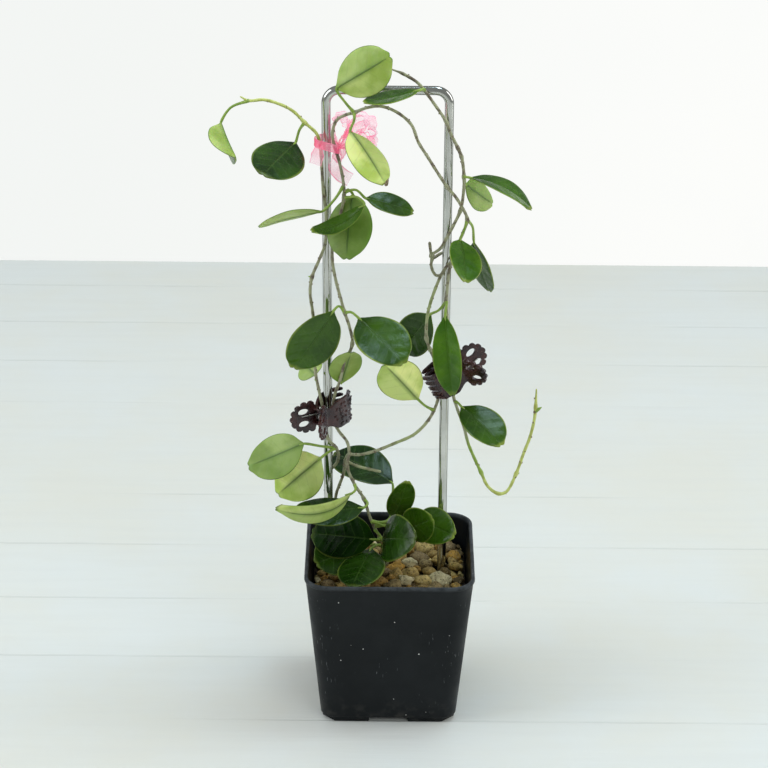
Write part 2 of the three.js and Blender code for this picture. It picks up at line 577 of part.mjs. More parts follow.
function strip(points, width, across) {
  const path = new THREE.CatmullRomCurve3(points.map((p) => new THREE.Vector3(...p)), false, 'centripetal');
  const pieces = Math.round(path.getLength() / 4);
  const side = new THREE.Vector3(...across).normalize();
  const rings = [];
  for (let i = 0; i <= pieces; i += 1) {
    const centre = path.getPoint(i / pieces);
    const out = path.getTangent(i / pieces).cross(side).normalize();
    rings.push([[1, 1], [-1, 1], [-1, -1], [1, -1]].map(([u, v]) => centre.clone()
      .addScaledVector(side, u * width / 2).addScaledVector(out, v * RIBBON_THICKNESS / 2).toArray()));
  }
  return join(rings.slice(1).map((ring, i) => stack([rings[i], ring])));
}

function makeRibbon() {
  const held = [[-34.25, HOOP_Y, ROD_RADIUS], [-37.8, 1.4, STEM_RADIUS + 0.4], [-29.6, 2.9, STEM_RADIUS + 0.3]];
  const clear = 0.6;
  const band = new THREE.Shape(hullOutline(held, clear + RIBBON_THICKNESS));
  band.holes.push(new THREE.Path(hullOutline(held, clear).reverse()));
  const ring = new THREE.ExtrudeGeometry(band, { depth: 4, bevelEnabled: false });
  ring.translate(34.25, 0, 312);
  ring.applyMatrix4(new THREE.Matrix4().makeShear(0, -0.35, 0, 0, 0, 0));
  ring.translate(-34.25, 0, 0);
  const knot = new THREE.IcosahedronGeometry(2, 0);
  knot.translate(...knotPoint);
  const largeLoop = [knotPoint, [-24, 8, 318], [-17, 9, 325], [-11, 9.5, 322.5], [-9.5, 9, 316.5],
    [-15, 8, 312], [-22, 7, 311], knotPoint];
  const smallLoop = [knotPoint, [-29.6, 8, 318.5], [-28.3, 8.5, 326], [-24.6, 8.5, 324], [-24.2, 8, 317], knotPoint];
  return join([
    solid(ring),
    solid(knot),
    strip(largeLoop, 5.5, [0, 1, 0.2]),
    strip(smallLoop, 4.5, [0, 1, 0.1]),
    strip([knotPoint, [-28.8, 6.4, 305], [-29.3, 6.6, 300.5], [-26, 6.6, 297], [-22, 6.6, 293.5]], 3.6, [1, 0.3, 0.4]),
    strip([[-37.6, -0.5, 315], [-38.4, -1.2, 310], [-39.8, -1.8, 304.5]], 3.4, [1, -0.2, 0]),
  ]);
}

add('ribbon_tie', makeRibbon(), organza);

// The origin goes under the middle of the whole
const extent = new THREE.Box3().setFromObject(model);
const middle = extent.getCenter(new THREE.Vector3());
for (const child of model.children) {
  child.position.x -= middle.x;
  child.position.y -= middle.y;
}

export default model;
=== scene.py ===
"""Hoya plant in a nursery pot, trained over a steel hoop: the looks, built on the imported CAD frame."""
import math
import random
from functools import reduce

import bmesh
import bpy
import numpy as np
from mathutils import Matrix, Vector
from mathutils.geometry import convex_hull_2d, delaunay_2d_cdt


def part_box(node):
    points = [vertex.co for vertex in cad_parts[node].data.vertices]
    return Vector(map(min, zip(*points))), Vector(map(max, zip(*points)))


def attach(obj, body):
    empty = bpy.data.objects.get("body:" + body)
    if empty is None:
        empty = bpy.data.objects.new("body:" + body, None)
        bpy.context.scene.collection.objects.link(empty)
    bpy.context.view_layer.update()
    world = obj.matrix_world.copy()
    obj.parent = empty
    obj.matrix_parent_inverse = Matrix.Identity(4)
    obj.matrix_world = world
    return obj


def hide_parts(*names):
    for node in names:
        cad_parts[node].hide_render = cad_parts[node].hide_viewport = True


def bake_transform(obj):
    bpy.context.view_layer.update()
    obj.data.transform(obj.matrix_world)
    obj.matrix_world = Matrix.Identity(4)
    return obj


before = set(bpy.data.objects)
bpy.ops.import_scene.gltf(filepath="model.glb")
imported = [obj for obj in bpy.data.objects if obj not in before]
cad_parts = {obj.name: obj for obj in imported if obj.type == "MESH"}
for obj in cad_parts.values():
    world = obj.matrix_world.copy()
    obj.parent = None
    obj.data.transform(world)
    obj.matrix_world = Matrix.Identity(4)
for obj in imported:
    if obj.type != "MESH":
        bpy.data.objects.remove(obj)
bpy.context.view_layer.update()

# The plant is laid out in millimetres from the middle of the pot
pot_low, pot_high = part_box("pot")
POT_X = 500.0 * (pot_low[0] + pot_high[0])
POT_Y = 500.0 * (pot_low[1] + pot_high[1])

# Sizes in that layout, in millimetres; the pot's first two are half its width at the foot and under the rim
TAU = 2 * math.pi
POT_BASE, POT_NECK, POT_TOP, POT_FOOT, POT_WALL = 36.25, 44.3, 86.0, 2.4, 1.4
GRIT_LEVEL = 66.5
HOOP_Y, ROD_RADIUS = 8, 2.3
BLADE_THICKNESS = 0.95
BEADS, TEETH, TOOTH_STEP = 9, 5, 3.5
BOARD_WIDTH = 0.0685  # in metres
# Numbers of the materials on a leafy stem
PETIOLE, DRY = 2, 3


def metres(points):
    """Millimetres from the pot's middle to metres in the shared frame."""
    out = np.asarray(points, dtype=float).copy()
    out[..., 0] += POT_X
    out[..., 1] += POT_Y
    return out * 0.001


# Mesh building
def vec(values):
    return np.array(values, dtype=float)


def unit(values):
    v = vec(values)
    return v / np.linalg.norm(v)


def quads(rows, cols, closed=True):
    """Faces between the rows of a grid of points; closed joins the last column to the first."""
    return [(r * cols + i, r * cols + (i + 1) % cols, (r + 1) * cols + (i + 1) % cols, (r + 1) * cols + i)
            for r in range(rows - 1) for i in range(cols if closed else cols - 1)]


def circle(x, y, radius, count):
    turns = [TAU * i / count for i in range(count)]
    return [(x + radius * math.cos(a), y + radius * math.sin(a)) for a in turns]


def new_object(name, verts, faces, materials=()):
    mesh = bpy.data.meshes.new(name)
    mesh.from_pydata([tuple(v) for v in verts], [], faces)
    for m in materials:
        mesh.materials.append(m)
    obj = bpy.data.objects.new(name, mesh)
    bpy.context.scene.collection.objects.link(obj)
    return obj


class Build:
    """Collects vertices, faces, material numbers, two maps and a tone for one object."""

    def __init__(self):
        self.verts, self.faces, self.mats, self.maps, self.tones = [], [], [], [], []
        self.count = 0

    def put(self, verts, faces, mat, maps=None, tone=0.5):
        verts = np.asarray(verts, dtype=float).reshape(-1, 3)
        n = len(verts)
        self.verts.append(verts)
        self.faces.extend([tuple(i + self.count for i in f) for f in faces])
        self.mats.extend(mat if isinstance(mat, list) else [mat] * len(faces))
        self.maps.append(np.zeros((n, 4)) if maps is None else np.asarray(maps, dtype=float).reshape(-1, 4))
        self.tones.append(np.broadcast_to(np.asarray(tone, dtype=float), (n,)).copy())
        self.count += n

    def make(self, name, materials, body, nodes):
        obj = new_object(name, metres(np.concatenate(self.verts)).tolist(), self.faces, materials)
        mesh = obj.data
        mesh.validate()
        mesh.polygons.foreach_set("material_index", self.mats)
        mesh.shade_smooth()
        maps = np.concatenate(self.maps)
        loops = np.empty(len(mesh.loops), dtype=np.int32)
        mesh.loops.foreach_get("vertex_index", loops)
        for name_, part in (("leafmap", maps[:, :2]), ("leafmm", maps[:, 2:])):
            layer = mesh.uv_layers.new(name=name_)
            layer.data.foreach_set("uv", part[loops].ravel())
        tone = mesh.attributes.new("tone", "FLOAT", "POINT")
        tone.data.foreach_set("value", np.concatenate(self.tones))
        mesh.update()
        if body:
            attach(obj, body)
        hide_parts(*nodes)
        return obj


def smooth_path(points, step):
    """Even points on a centripetal Catmull-Rom curve through the given ones."""
    p = [vec(q) for q in points]
    p = [2 * p[0] - p[1]] + p + [2 * p[-1] - p[-2]]
    out = []
    for a, b, c, d in zip(p, p[1:], p[2:], p[3:]):
        t1 = np.linalg.norm(b - a) ** 0.5
        t2 = t1 + np.linalg.norm(c - b) ** 0.5
        t3 = t2 + np.linalg.norm(d - c) ** 0.5
        for t in np.linspace(t1, t2, max(2, int(np.linalg.norm(c - b) / step * 2) + 1))[:-1]:
            a1 = (t1 - t) / t1 * a + t / t1 * b
            a2 = (t2 - t) / (t2 - t1) * b + (t - t1) / (t2 - t1) * c
            a3 = (t3 - t) / (t3 - t2) * c + (t - t2) / (t3 - t2) * d
            b1 = (t2 - t) / t2 * a1 + t / t2 * a2
            b2 = (t3 - t) / (t3 - t1) * a2 + (t - t1) / (t3 - t1) * a3
            out.append((t2 - t) / (t2 - t1) * b1 + (t - t1) / (t2 - t1) * b2)
    out.append(p[-2])
    out = np.array(out)
    lengths = np.concatenate([[0], np.cumsum(np.linalg.norm(np.diff(out, axis=0), axis=1))])
    even = np.linspace(0, lengths[-1], max(3, int(round(lengths[-1] / step)) + 1))
    return np.stack([np.interp(even, lengths, out[:, k]) for k in range(3)], axis=1), even


def frames(points):
    """Tangent and two steady cross directions along a path."""
    tangents = np.gradient(points, axis=0)
    tangents /= np.linalg.norm(tangents, axis=1)[:, None] + 1e-12
    first = np.cross(tangents[0], [0.3, 0.9, 0.1])
    first /= np.linalg.norm(first)
    sides = [first]
    for i in range(1, len(points)):
        side = sides[-1] - tangents[i] * (tangents[i] @ sides[-1])
        sides.append(side / np.linalg.norm(side))
    sides = np.array(sides)
    return tangents, sides, np.cross(tangents, sides)


def tube(build, points, radii, sides, mat, tone=0.5):
    """A round tube with domed ends along a path of points."""
    points = np.asarray(points, dtype=float)
    n = len(points)
    radii, tone = (np.broadcast_to(np.asarray(v, dtype=float), (n,)) for v in (radii, tone))
    tangents, a, b = frames(points)
    rings = [(points[0] - tangents[0] * radii[0] * 0.55, radii[0] * 0.55, 0)]
    rings += [(points[i], radii[i], i) for i in range(n)]
    rings += [(points[-1] + tangents[-1] * radii[-1] * 0.55, radii[-1] * 0.55, n - 1)]
    angle = np.linspace(0, 2 * np.pi, sides, endpoint=False)
    verts, tones = [], []
    for centre, radius, i in rings:
        verts.append(centre + radius * (np.cos(angle)[:, None] * a[i] + np.sin(angle)[:, None] * b[i]))
        tones += [tone[i]] * sides
    verts.append([rings[0][0] - tangents[0] * radii[0] * 0.35, rings[-1][0] + tangents[-1] * radii[-1] * 0.35])
    faces = quads(len(rings), sides)
    start = len(rings) * sides
    for k in range(sides):
        n = (k + 1) % sides
        faces += [(start, n, k), (start + 1, start - sides + k, start - sides + n)]
    build.put(np.concatenate(verts), faces, mat, tone=np.array(tones + [tone[0], tone[-1]]))


ICO = {}


def ball(build, centre, size, mat, detail=2, tone=0.5, bump=0.0, rng=None, turn=None):
    """A rounded lump, scaled and dented by a few seeded waves."""
    if detail not in ICO:
        bm = bmesh.new()
        bmesh.ops.create_icosphere(bm, subdivisions=detail, radius=1)
        ICO[detail] = (np.array([v.co[:] for v in bm.verts]), [tuple(v.index for v in f.verts) for f in bm.faces])
        bm.free()
    verts, faces = ICO[detail]
    verts = verts.copy()
    if bump:
        out = np.ones(len(verts))
        for _ in range(7):
            d = np.array([rng.gauss(0, 1) for _ in range(3)])
            d /= np.linalg.norm(d)
            k, phase = rng.uniform(1.2, 4.2), rng.uniform(0, 6.28)
            out += bump / k * np.sin(k * (verts @ d) * 1.7 + phase)
        verts *= out[:, None]
    verts *= np.asarray(size, dtype=float)
    if turn is not None:
        verts = verts @ np.array(turn.to_3x3()).T
    build.put(verts + np.asarray(centre, dtype=float), faces, mat, tone=tone)


# Materials
class Net:
    """A new material with one Principled shader, and short names for the nodes that the materials share."""

    def __init__(self, name):
        self.mat = bpy.data.materials.new(name)
        self.mat.use_nodes = True
        self.nt = self.mat.node_tree
        self.nt.nodes.clear()
        self.shader = self.nt.nodes.new("ShaderNodeBsdfPrincipled")
        self.feed(self.nt.nodes.new("ShaderNodeOutputMaterial").inputs[0], self.shader.outputs[0])

    def feed(self, socket, value):
        if isinstance(value, bpy.types.NodeSocket):
            self.nt.links.new(value, socket)
        else:
            socket.default_value = value

    def node(self, kind, inputs, **settings):
        """The outputs of a new node; inputs are in order, or by name or number."""
        n = self.nt.nodes.new(kind)
        for k, v in settings.items():
            setattr(n, k, v)
        for k, v in inputs.items() if isinstance(inputs, dict) else enumerate(inputs):
            self.feed(n.inputs[k], v)
        return n.outputs

    def attribute(self, name, output="Fac"):
        return self.node("ShaderNodeAttribute", (), attribute_name=name)[output]

    def place(self):
        return self.node("ShaderNodeTexCoord", ())["Object"]

    def stretched(self, scale, turn=(0.0, 0.0, 0.0)):
        return self.node("ShaderNodeMapping", {"Vector": self.place(), "Scale": scale, "Rotation": turn})[0]

    def noise(self, scale, detail=3.0, rough=0.55, vector=None):
        vector = self.place() if vector is None else vector
        sockets = {"Scale": scale, "Detail": detail, "Roughness": rough, "Vector": vector}
        return self.node("ShaderNodeTexNoise", sockets)["Fac"]

    def cells(self, scale):
        return self.node("ShaderNodeTexVoronoi", {"Scale": scale, "Vector": self.place()}, feature="F1")

    def math(self, operation, *values, clamp=False):
        return self.node("ShaderNodeMath", values, operation=operation, use_clamp=clamp)[0]

    def mul(self, a, b):
        return self.math("MULTIPLY", a, b)

    def add(self, a, b, clamp=False):
        return self.math("ADD", a, b, clamp=clamp)

    def abs(self, a):
        return self.math("ABSOLUTE", a)

    def total(self, *pairs):
        """The sum of values, each times its weight."""
        return reduce(self.add, [self.mul(value, weight) for value, weight in pairs])

    def ramp(self, value, low, high, a=0.0, b=1.0):
        return self.node("ShaderNodeMapRange", (value, low, high, a, b), interpolation_type="SMOOTHSTEP")[0]

    def spots(self, scale, detail, low, high, a=0.0, b=1.0):
        """Noise with its values from low to high spread over a to b."""
        return self.ramp(self.noise(scale, detail), low, high, a, b)

    def mix(self, factor, a, b):
        a, b = (v if isinstance(v, bpy.types.NodeSocket) else (*v, 1.0) for v in (a, b))
        return self.node("ShaderNodeMix", {0: factor, 6: a, 7: b}, data_type="RGBA")[2]

    def layers(self, colour, *marks):
        """The colour with marks laid over it: each is a mask, its strength and its own colour."""
        for mask, strength, other in marks:
            colour = self.mix(self.mul(mask, strength), colour, other)
        return colour

    def split(self, vector):
        return self.node("ShaderNodeSeparateXYZ", (vector,))

    def done(self, colour, rough, height=None, distance=0.0, strength=1.0, **sockets):
        """Fills the shader's own sockets and gives the material."""
        if height is not None:
            relief = {"Strength": strength, "Distance": distance, "Height": height}
            sockets["Normal"] = self.node("ShaderNodeBump", relief)[0]
        for name, value in {"Base Color": colour, "Roughness": rough, **sockets}.items():
            self.feed(self.shader.inputs[name.replace("_", " ")], value)
        return self.mat


def scatter(weight, radius, scale):
    return {"Subsurface Weight": weight, "Subsurface Radius": radius, "Subsurface Scale": scale}


def leaf_marks(net):
    """The maps of a blade, and its midrib, side veins, the waves between them and the nearness of its edge."""
    u, v, _ = net.split(net.attribute("leafmap", "Vector"))
    x, y, _ = net.split(net.attribute("leafmm", "Vector"))
    side, across = net.abs(x), net.abs(u)
    midrib = net.mul(net.ramp(side, 0.22, 0.6, 1.0, 0.0), net.ramp(v, 0.78, 0.97, 1.0, 0.0))
    wave = net.math("SINE", net.total((y, 1.05), (side, -0.62), (net.noise(160, 2), 2.6)))
    veins = net.mul(net.ramp(wave, 0.93, 1.0), net.ramp(across, 0.7, 0.95, 1.0, 0.0))
    return u, v, side, midrib, veins, wave, net.math("MAXIMUM", across, net.mul(v, 0.985))


def leaf_upper():
    net = Net("leaf_upper_side")
    *_, midrib, veins, wave, edge = leaf_marks(net)
    tone = net.attribute("tone")
    # The pale rim is partly the blade's own lighter margin and partly a painted highlight along its edge, stronger on
    # the brighter leaves
    lit = net.mul(net.ramp(tone, 0.0, 0.4, 0.30, 0.95), net.spots(45, 2, 0.3, 0.6, 0.45, 1.0))
    colour = net.layers(
        net.mix(net.spots(55, 4, 0.35, 0.7), net.mix(tone, (0.002, 0.013, 0.001), (0.056, 0.17, 0.006)),
                net.mix(tone, (0.007, 0.036, 0.002), (0.125, 0.29, 0.012))),
        (veins, 0.22, (0.10, 0.19, 0.05)),
        (midrib, 0.5, net.mix(tone, (0.05, 0.10, 0.02), (0.06, 0.16, 0.008))),
        (net.spots(900, 2, 0.70, 0.78), 0.35, (0.16, 0.22, 0.10)),
        (net.ramp(edge, 0.90, 0.972), lit, (0.26, 0.34, 0.055)))
    return net.done(colour, net.spots(120, 5, 0.3, 0.72, 0.17, 0.40),
                    net.total((midrib, -1.6), (wave, 0.34), (net.noise(260, 5), 1.7)), 0.00019, 0.9,
                    Specular_IOR_Level=0.25, Coat_Weight=0.12, Coat_Roughness=0.12,
                    **scatter(0.12, (0.4, 0.9, 0.15), 0.0012))


def leaf_lower():
    net = Net("leaf_underside")
    u, v, side, midrib, veins, wave, edge = leaf_marks(net)
    tone = net.attribute("tone")
    # Painted shade: a dark green band along the midrib, where the blade folds in
    crease_shade = net.mul(net.ramp(side, 0.3, 2.6, 0.45, 0.0), net.ramp(v, 0.55, 0.95, 1.0, 0.0))
    colour = net.layers(
        net.mix(net.spots(48, 5, 0.33, 0.61), net.mix(tone, (0.050, 0.130, 0.012), (0.52, 0.66, 0.115)),
                net.mix(tone, (0.105, 0.215, 0.028), (0.92, 1.0, 0.38))),
        # Painted shade: the half of the blade with u above zero is darker, as if turned away from the light
        (net.ramp(u, -0.10, 0.02), 0.34, (0.13, 0.27, 0.02)),
        (veins, 0.10, (0.10, 0.20, 0.035)), (crease_shade, 1.0, (0.08, 0.19, 0.02)), (midrib, 0.55, (0.045, 0.10, 0.02)),
        (net.ramp(edge, 0.955, 0.982), 0.8, (0.055, 0.10, 0.018)),
        (net.spots(1100, 2, 0.68, 0.76), 0.3, (0.06, 0.12, 0.03)))
    return net.done(colour, net.spots(300, 3, 0.3, 0.7, 0.42, 0.6),
                    net.total((midrib, 1.6), (wave, 0.25), (net.noise(600, 4), 0.8)), 0.00018, 0.8,
                    **scatter(0.35, (0.6, 1.0, 0.2), 0.0022))


def stem_bark():
    """Grey, petiole green and fresh yellow-green by tone, with brown streaks."""
    net = Net("stem")
    tone, streak = net.attribute("tone"), net.noise(260, 5)
    stalk, fresh = net.ramp(tone, 0.35, 0.58), net.ramp(tone, 0.86, 1.0)
    green = net.mix(fresh, net.mix(stalk, (0.38, 0.39, 0.24), (0.30, 0.44, 0.075)), (0.62, 0.69, 0.20))
    brown = net.mix(fresh, net.mix(stalk, (0.145, 0.112, 0.083), (0.21, 0.34, 0.055)), (0.42, 0.46, 0.10))
    colour = net.layers(net.mix(net.ramp(streak, 0.42, 0.68), green, brown),
                        (net.spots(900, 2, 0.62, 0.72), 0.5, (0.42, 0.42, 0.28)))
    return net.done(colour, net.ramp(streak, 0.3, 0.7, 0.42, 0.66), net.noise(1100, 4), 0.00025, 0.7,
                    **scatter(0.08, (0.5, 0.8, 0.2), 0.0008))


def root_tip():
    net = Net("root_stub")
    colour = net.mix(net.spots(1500, 3, 0.4, 0.6), (0.12, 0.075, 0.045), (0.32, 0.26, 0.16))
    return net.done(colour, 0.75, net.noise(2500, 3), 0.0001)


def pot_black():
    """Black plastic with fine scratches, pale specks, dust at the foot and a painted highlight round the rim."""
    net = Net("nursery_pot_plastic")
    z = net.split(net.place())[2]
    lines = net.noise(1300, 3, 0.5, net.stretched((1.0, 1.0, 0.12), (0.25, 0.35, 0.0)))
    scratch = net.mul(net.ramp(lines, 0.66, 0.72), net.spots(45, 4, 0.5, 0.66))
    specks = net.cells(170)
    pick = net.ramp(net.split(specks["Color"])[0], 0.70, 0.72)
    colour = net.layers(
        net.mix(net.spots(28, 5, 0.35, 0.7), (0.0034, 0.0052, 0.0068), (0.0070, 0.0092, 0.0112)),
        (scratch, 0.8, (0.13, 0.14, 0.15)),
        (net.ramp(specks["Distance"], 0.035, 0.08, 1.0, 0.0), pick, (0.85, 0.86, 0.84)),
        (net.mul(net.ramp(z, 0.0, 0.02, 1.0, 0.0), net.spots(140, 5, 0.45, 0.7)), 0.18, (0.16, 0.15, 0.13)),
        # Painted highlight: a lighter band round the top of the rim
        (net.ramp(z, 0.0835, 0.0852), net.spots(240, 3, 0.3, 0.6, 0.35, 0.9), (0.055, 0.062, 0.07)))
    return net.done(colour, net.spots(75, 5, 0.3, 0.7, 0.36, 0.55),
                    net.total((net.noise(1800, 3), 0.35), (scratch, -0.8), (net.noise(22, 2), 1.6)),
                    0.00015, 0.7, Specular_IOR_Level=0.2)


def gravel_stone():
    """Each stone's tone picks its base colour; patches, pale grains and pits go over it."""
    net = Net("gravel_stone")
    stops = [(0.0, (0.10, 0.066, 0.022)), (0.22, (0.32, 0.215, 0.062)), (0.45, (0.50, 0.365, 0.125)),
             (0.62, (0.42, 0.235, 0.038)), (0.78, (0.20, 0.145, 0.068)), (0.92, (0.60, 0.465, 0.18)),
             (1.0, (0.72, 0.65, 0.40))]
    ramp = net.nt.nodes.new("ShaderNodeValToRGB")
    net.feed(ramp.inputs[0], net.attribute("tone"))
    while len(ramp.color_ramp.elements) < len(stops):
        ramp.color_ramp.elements.new(0.5)
    for e, (p, c) in zip(ramp.color_ramp.elements, stops):
        e.position, e.color = p, (*c, 1)
    base = ramp.outputs[0]
    pit = net.ramp(net.cells(700)["Distance"], 0.12, 0.38, 1.0, 0.0)
    colour = net.layers(
        base, (net.ramp(net.noise(330, 6, 0.6), 0.35, 0.7), 1.0, net.mix(0.6, base, (0.085, 0.056, 0.018))),
        (net.spots(1100, 4, 0.56, 0.68), 0.45, (0.62, 0.53, 0.30)), (pit, 0.6, (0.05, 0.035, 0.018)))
    return net.done(colour, net.spots(500, 3, 0.3, 0.7, 0.75, 0.95),
                    net.total((net.noise(420, 6, 0.6), 1.0), (pit, -0.5)), 0.0007, 0.9)


def fine_grit():
    net = Net("fine_grit")
    grain = net.noise(700, 6, 0.65)
    # Painted shade: the grit runs to near black so the gaps between the stones read dark; its lighter end is the
    # grit's own brown
    colour = net.mix(net.ramp(grain, 0.4, 0.62), (0.010, 0.007, 0.004), (0.085, 0.06, 0.03))
    return net.done(colour, net.ramp(grain, 0.3, 0.7, 0.82, 0.98), grain, 0.0016)


def polished_rod():
    net = Net("polished_rod")
    smear = net.noise(60, 4)
    colour = net.mix(net.ramp(smear, 0.3, 0.7), (0.50, 0.505, 0.48), (0.66, 0.665, 0.64))
    return net.done(colour, net.ramp(smear, 0.35, 0.75, 0.09, 0.2),
                    net.noise(2600, 3, 0.5, net.stretched((1.0, 1.0, 0.03))), 0.00003, 0.5,
                    Metallic=1.0, Specular_Tint=(0.10, 0.115, 0.10, 1))


def clip_brown():
    net = Net("clip_plastic")
    colour = net.layers(net.mix(net.spots(150, 4, 0.35, 0.65), (0.019, 0.0055, 0.0055), (0.070, 0.021, 0.017)),
                        (net.spots(1300, 3, 0.64, 0.7), 0.5, (0.23, 0.13, 0.10)))
    return net.done(colour, net.spots(420, 4, 0.3, 0.7, 0.14, 0.3), net.noise(420, 5), 0.00045, 0.9,
                    Specular_IOR_Level=0.34, Coat_Weight=0.5, Coat_Roughness=0.14,
                    Coat_Tint=(0.80, 0.82, 1.0, 1))


def spring_metal():
    net = Net("spring_metal")
    grain = net.noise(900, 4)
    colour = net.mix(net.ramp(grain, 0.3, 0.7), (0.50, 0.50, 0.48), (0.72, 0.72, 0.70))
    return net.done(colour, net.ramp(grain, 0.3, 0.7, 0.18, 0.34), grain, 0.00002, Metallic=1.0)


def organza_cloth():
    """Sheer cloth: its cover grows with the weave, at the hems and with the tone, and it glows faintly in its own
    colour, painted light for the light that shines through it.
    """
    net = Net("organza")
    u, v, _ = net.split(net.attribute("leafmap", "Vector"))
    warp, weft = (net.math("SINE", net.mul(*pair)) for pair in ((u, 150.0), (v, 420.0)))
    weave = net.mul(net.add(warp, weft), 0.25)
    hem = net.ramp(net.abs(net.math("SUBTRACT", u, 0.5)), 0.42, 0.47)
    tone = net.attribute("tone")
    cloth = net.layers(net.mix(tone, (1.0, 0.46, 0.66), (1.0, 0.09, 0.22)), (hem, 0.6, (0.98, 0.17, 0.36)),
                       (net.spots(230, 4, 0.45, 0.75), 0.45, (1.0, 0.62, 0.74)))
    cover = net.add(net.add(net.mul(weave, 0.3), 0.24), net.mul(hem, 0.60))
    # The emission is painted light: the cloth glows in its own colour in place of light shining through it
    return net.done(cloth, 0.55, net.add(weave, net.noise(500, 3)), 0.00015, 0.6,
                    Alpha=net.add(cover, net.mul(tone, 0.62), clamp=True), Emission_Color=cloth,
                    Emission_Strength=0.26, Sheen_Weight=0.4, Sheen_Roughness=0.4)


UPPER, LOWER, STEM, STUB = leaf_upper(), leaf_lower(), stem_bark(), root_tip()
POT, STONE, GRIT, ROD = pot_black(), gravel_stone(), fine_grit(), polished_rod()
CLIP, WIRE, ORGANZA = clip_brown(), spring_metal(), organza_cloth()


# Leaves and stems
def blade(build, base, tip, roll, width, cup, arch, tone, under, seed):
    """A leaf blade: rows from base to tip, columns across, closed and thin at the rim, with a notched tip."""
    rng = random.Random(seed)
    rows, cols, notch = 34, 22, 1.1
    base, tip = vec(base), vec(tip)
    along = tip - base
    length = np.linalg.norm(along)
    along /= length
    up = unit(vec([0, 0, 1]) - along * along[2])
    side = np.cross(along, up)
    face = math.cos(math.radians(roll)) * up + math.sin(math.radians(roll)) * side
    across = np.cross(along, face)
    v = 1 - (1 - np.linspace(0, 1, rows + 1)) ** 1.15
    u = np.sin(np.linspace(-1, 1, cols + 1) * math.pi / 2 * 0.985) / math.sin(math.pi / 2 * 0.985)
    V, U = np.meshgrid(v, u, indexing="ij")
    half = 0.5 * width * np.sin(np.pi * (0.02 + 0.895 * V ** 0.93)) ** 0.72
    half *= 1 - 0.45 * np.exp(-(V / 0.09) ** 2)
    end = V ** 8
    cleft = np.clip(1 - np.abs(U / 0.42), 0, 1) ** 1.4
    x = U * half
    y = length * (V - 0.085 * end * U ** 2) - notch * end * cleft
    z = cup * half * np.abs(U) ** 1.15 + arch * length * 4 * V * (1 - V)
    phase, wave = rng.uniform(0, 6.28), rng.uniform(0.10, 0.30)
    z += wave * np.abs(U) ** 3 * np.sin(V * 9 + phase + 2.2 * np.sign(U)) * np.sin(np.pi * V)
    z += 0.16 * np.sin(V * 15 - np.abs(U) * 3.5 + phase) * (1 - U ** 2) * np.abs(U) ** 0.5 * np.sin(np.pi * V)
    thick = BLADE_THICKNESS * np.sqrt(np.clip(1 - U ** 8, 0, 1)) * (1 - 0.22 * U ** 2)
    thick *= np.sqrt(np.clip(1 - V ** 26, 0, 1)) * np.sqrt(np.clip(1 - (1 - V) ** 26, 0, 1))
    furrow = np.exp(-(x / 0.55) ** 2) * (1 - V ** 4)
    top = z + thick / 2 - 0.24 * furrow
    low = z - thick / 2 - 0.30 * furrow * (thick > 0)
    maps = np.stack([U, V, x, y], axis=-1)
    shade = tone + 0.06 * np.sin(V * 5 + phase)
    place = lambda h: base + x[..., None] * across + y[..., None] * along + h[..., None] * face
    n, m = rows + 1, cols + 1
    index = np.arange(n * m).reshape(n, m)
    below = np.full((n, m), -1)
    inner = np.zeros((n, m), dtype=bool)
    inner[1:-1, 1:-1] = True
    below[inner] = n * m + np.arange(inner.sum())
    below[~inner] = index[~inner]
    verts = np.concatenate([place(np.where(inner, top, z)).reshape(-1, 3), place(low)[inner]])
    both = np.concatenate([maps.reshape(-1, 4), maps[inner]])
    shades = np.concatenate([np.clip(shade, 0, 1).ravel(), np.full(inner.sum(), under)])
    below, faces = below.ravel().tolist(), []
    for a, b, c, d in quads(n, m, False):
        faces += [(a, b, c, d), (below[a], below[d], below[c], below[b])]
    build.put(verts, faces, [0, 1] * (rows * cols), both, shades)
    return along


def leaf(build, petiole, tip, *form, seed):
    """A blade with its petiole, which runs a little way into the blade."""
    along = blade(build, petiole[-1], tip, *form, seed)
    path, even = smooth_path(list(petiole) + [tuple(vec(petiole[-1]) + along * 3.2)], 0.8)
    t = even / even[-1]
    radius = 0.86 - 0.2 * np.sin(np.pi * np.clip(t * 1.1, 0, 1)) + 0.18 * np.exp(-(t / 0.12) ** 2)
    radius *= 1 - 0.55 * np.clip((t - 0.75) / 0.25, 0, 1)
    tube(build, path, radius, 10, PETIOLE, 0.55 + 0.3 * t)


def shoot(build, points, radius, tone, knots=(), stubs=0.0, seed=1, tip=False):
    """A stem: swollen at its nodes, with small root stubs along it and a fine point if it ends free."""
    rng = random.Random(seed)
    path, even = smooth_path(points, 0.9)
    swell = np.ones(len(path))
    for k in knots:
        swell += 0.45 * np.exp(-(np.linalg.norm(path - vec(k), axis=1) / 1.5) ** 2)
    swell *= 1 + 0.05 * np.sin(even * 0.9 + seed) + 0.03 * np.sin(even * 2.3)
    if tip:
        swell *= 1 - 0.55 * np.clip((even - even[-1] + 9) / 9, 0, 1)
    shade = tone(even / even[-1]) if callable(tone) else tone
    tube(build, path, radius * swell, 12, PETIOLE, shade)
    tangents, a, b = frames(path)
    place = rng.uniform(3, 7)
    while stubs and place < even[-1] - 3:
        i = int(np.searchsorted(even, place))
        for _ in range(rng.choice((1, 2, 2, 3))):
            angle = rng.uniform(0, 6.28)
            out = math.cos(angle) * a[i] + math.sin(angle) * b[i]
            size = rng.uniform(0.26, 0.52)
            spot = path[i] + tangents[i] * rng.uniform(-0.9, 0.9) + out * radius * 0.98
            ball(build, spot, (size, size, size * 1.25), DRY, 1, rng.random())
        place += rng.uniform(*stubs)


def scale_leaf(build, centre, direction, size, mat=PETIOLE):
    """A small pointed scale at a node, or a dry point at a leaf tip."""
    c, d = vec(centre), unit(direction)
    tube(build, [c, c + d * size * 0.5, c + d * size], [size * 0.28, size * 0.22, size * 0.05], 8, mat, 0.75)


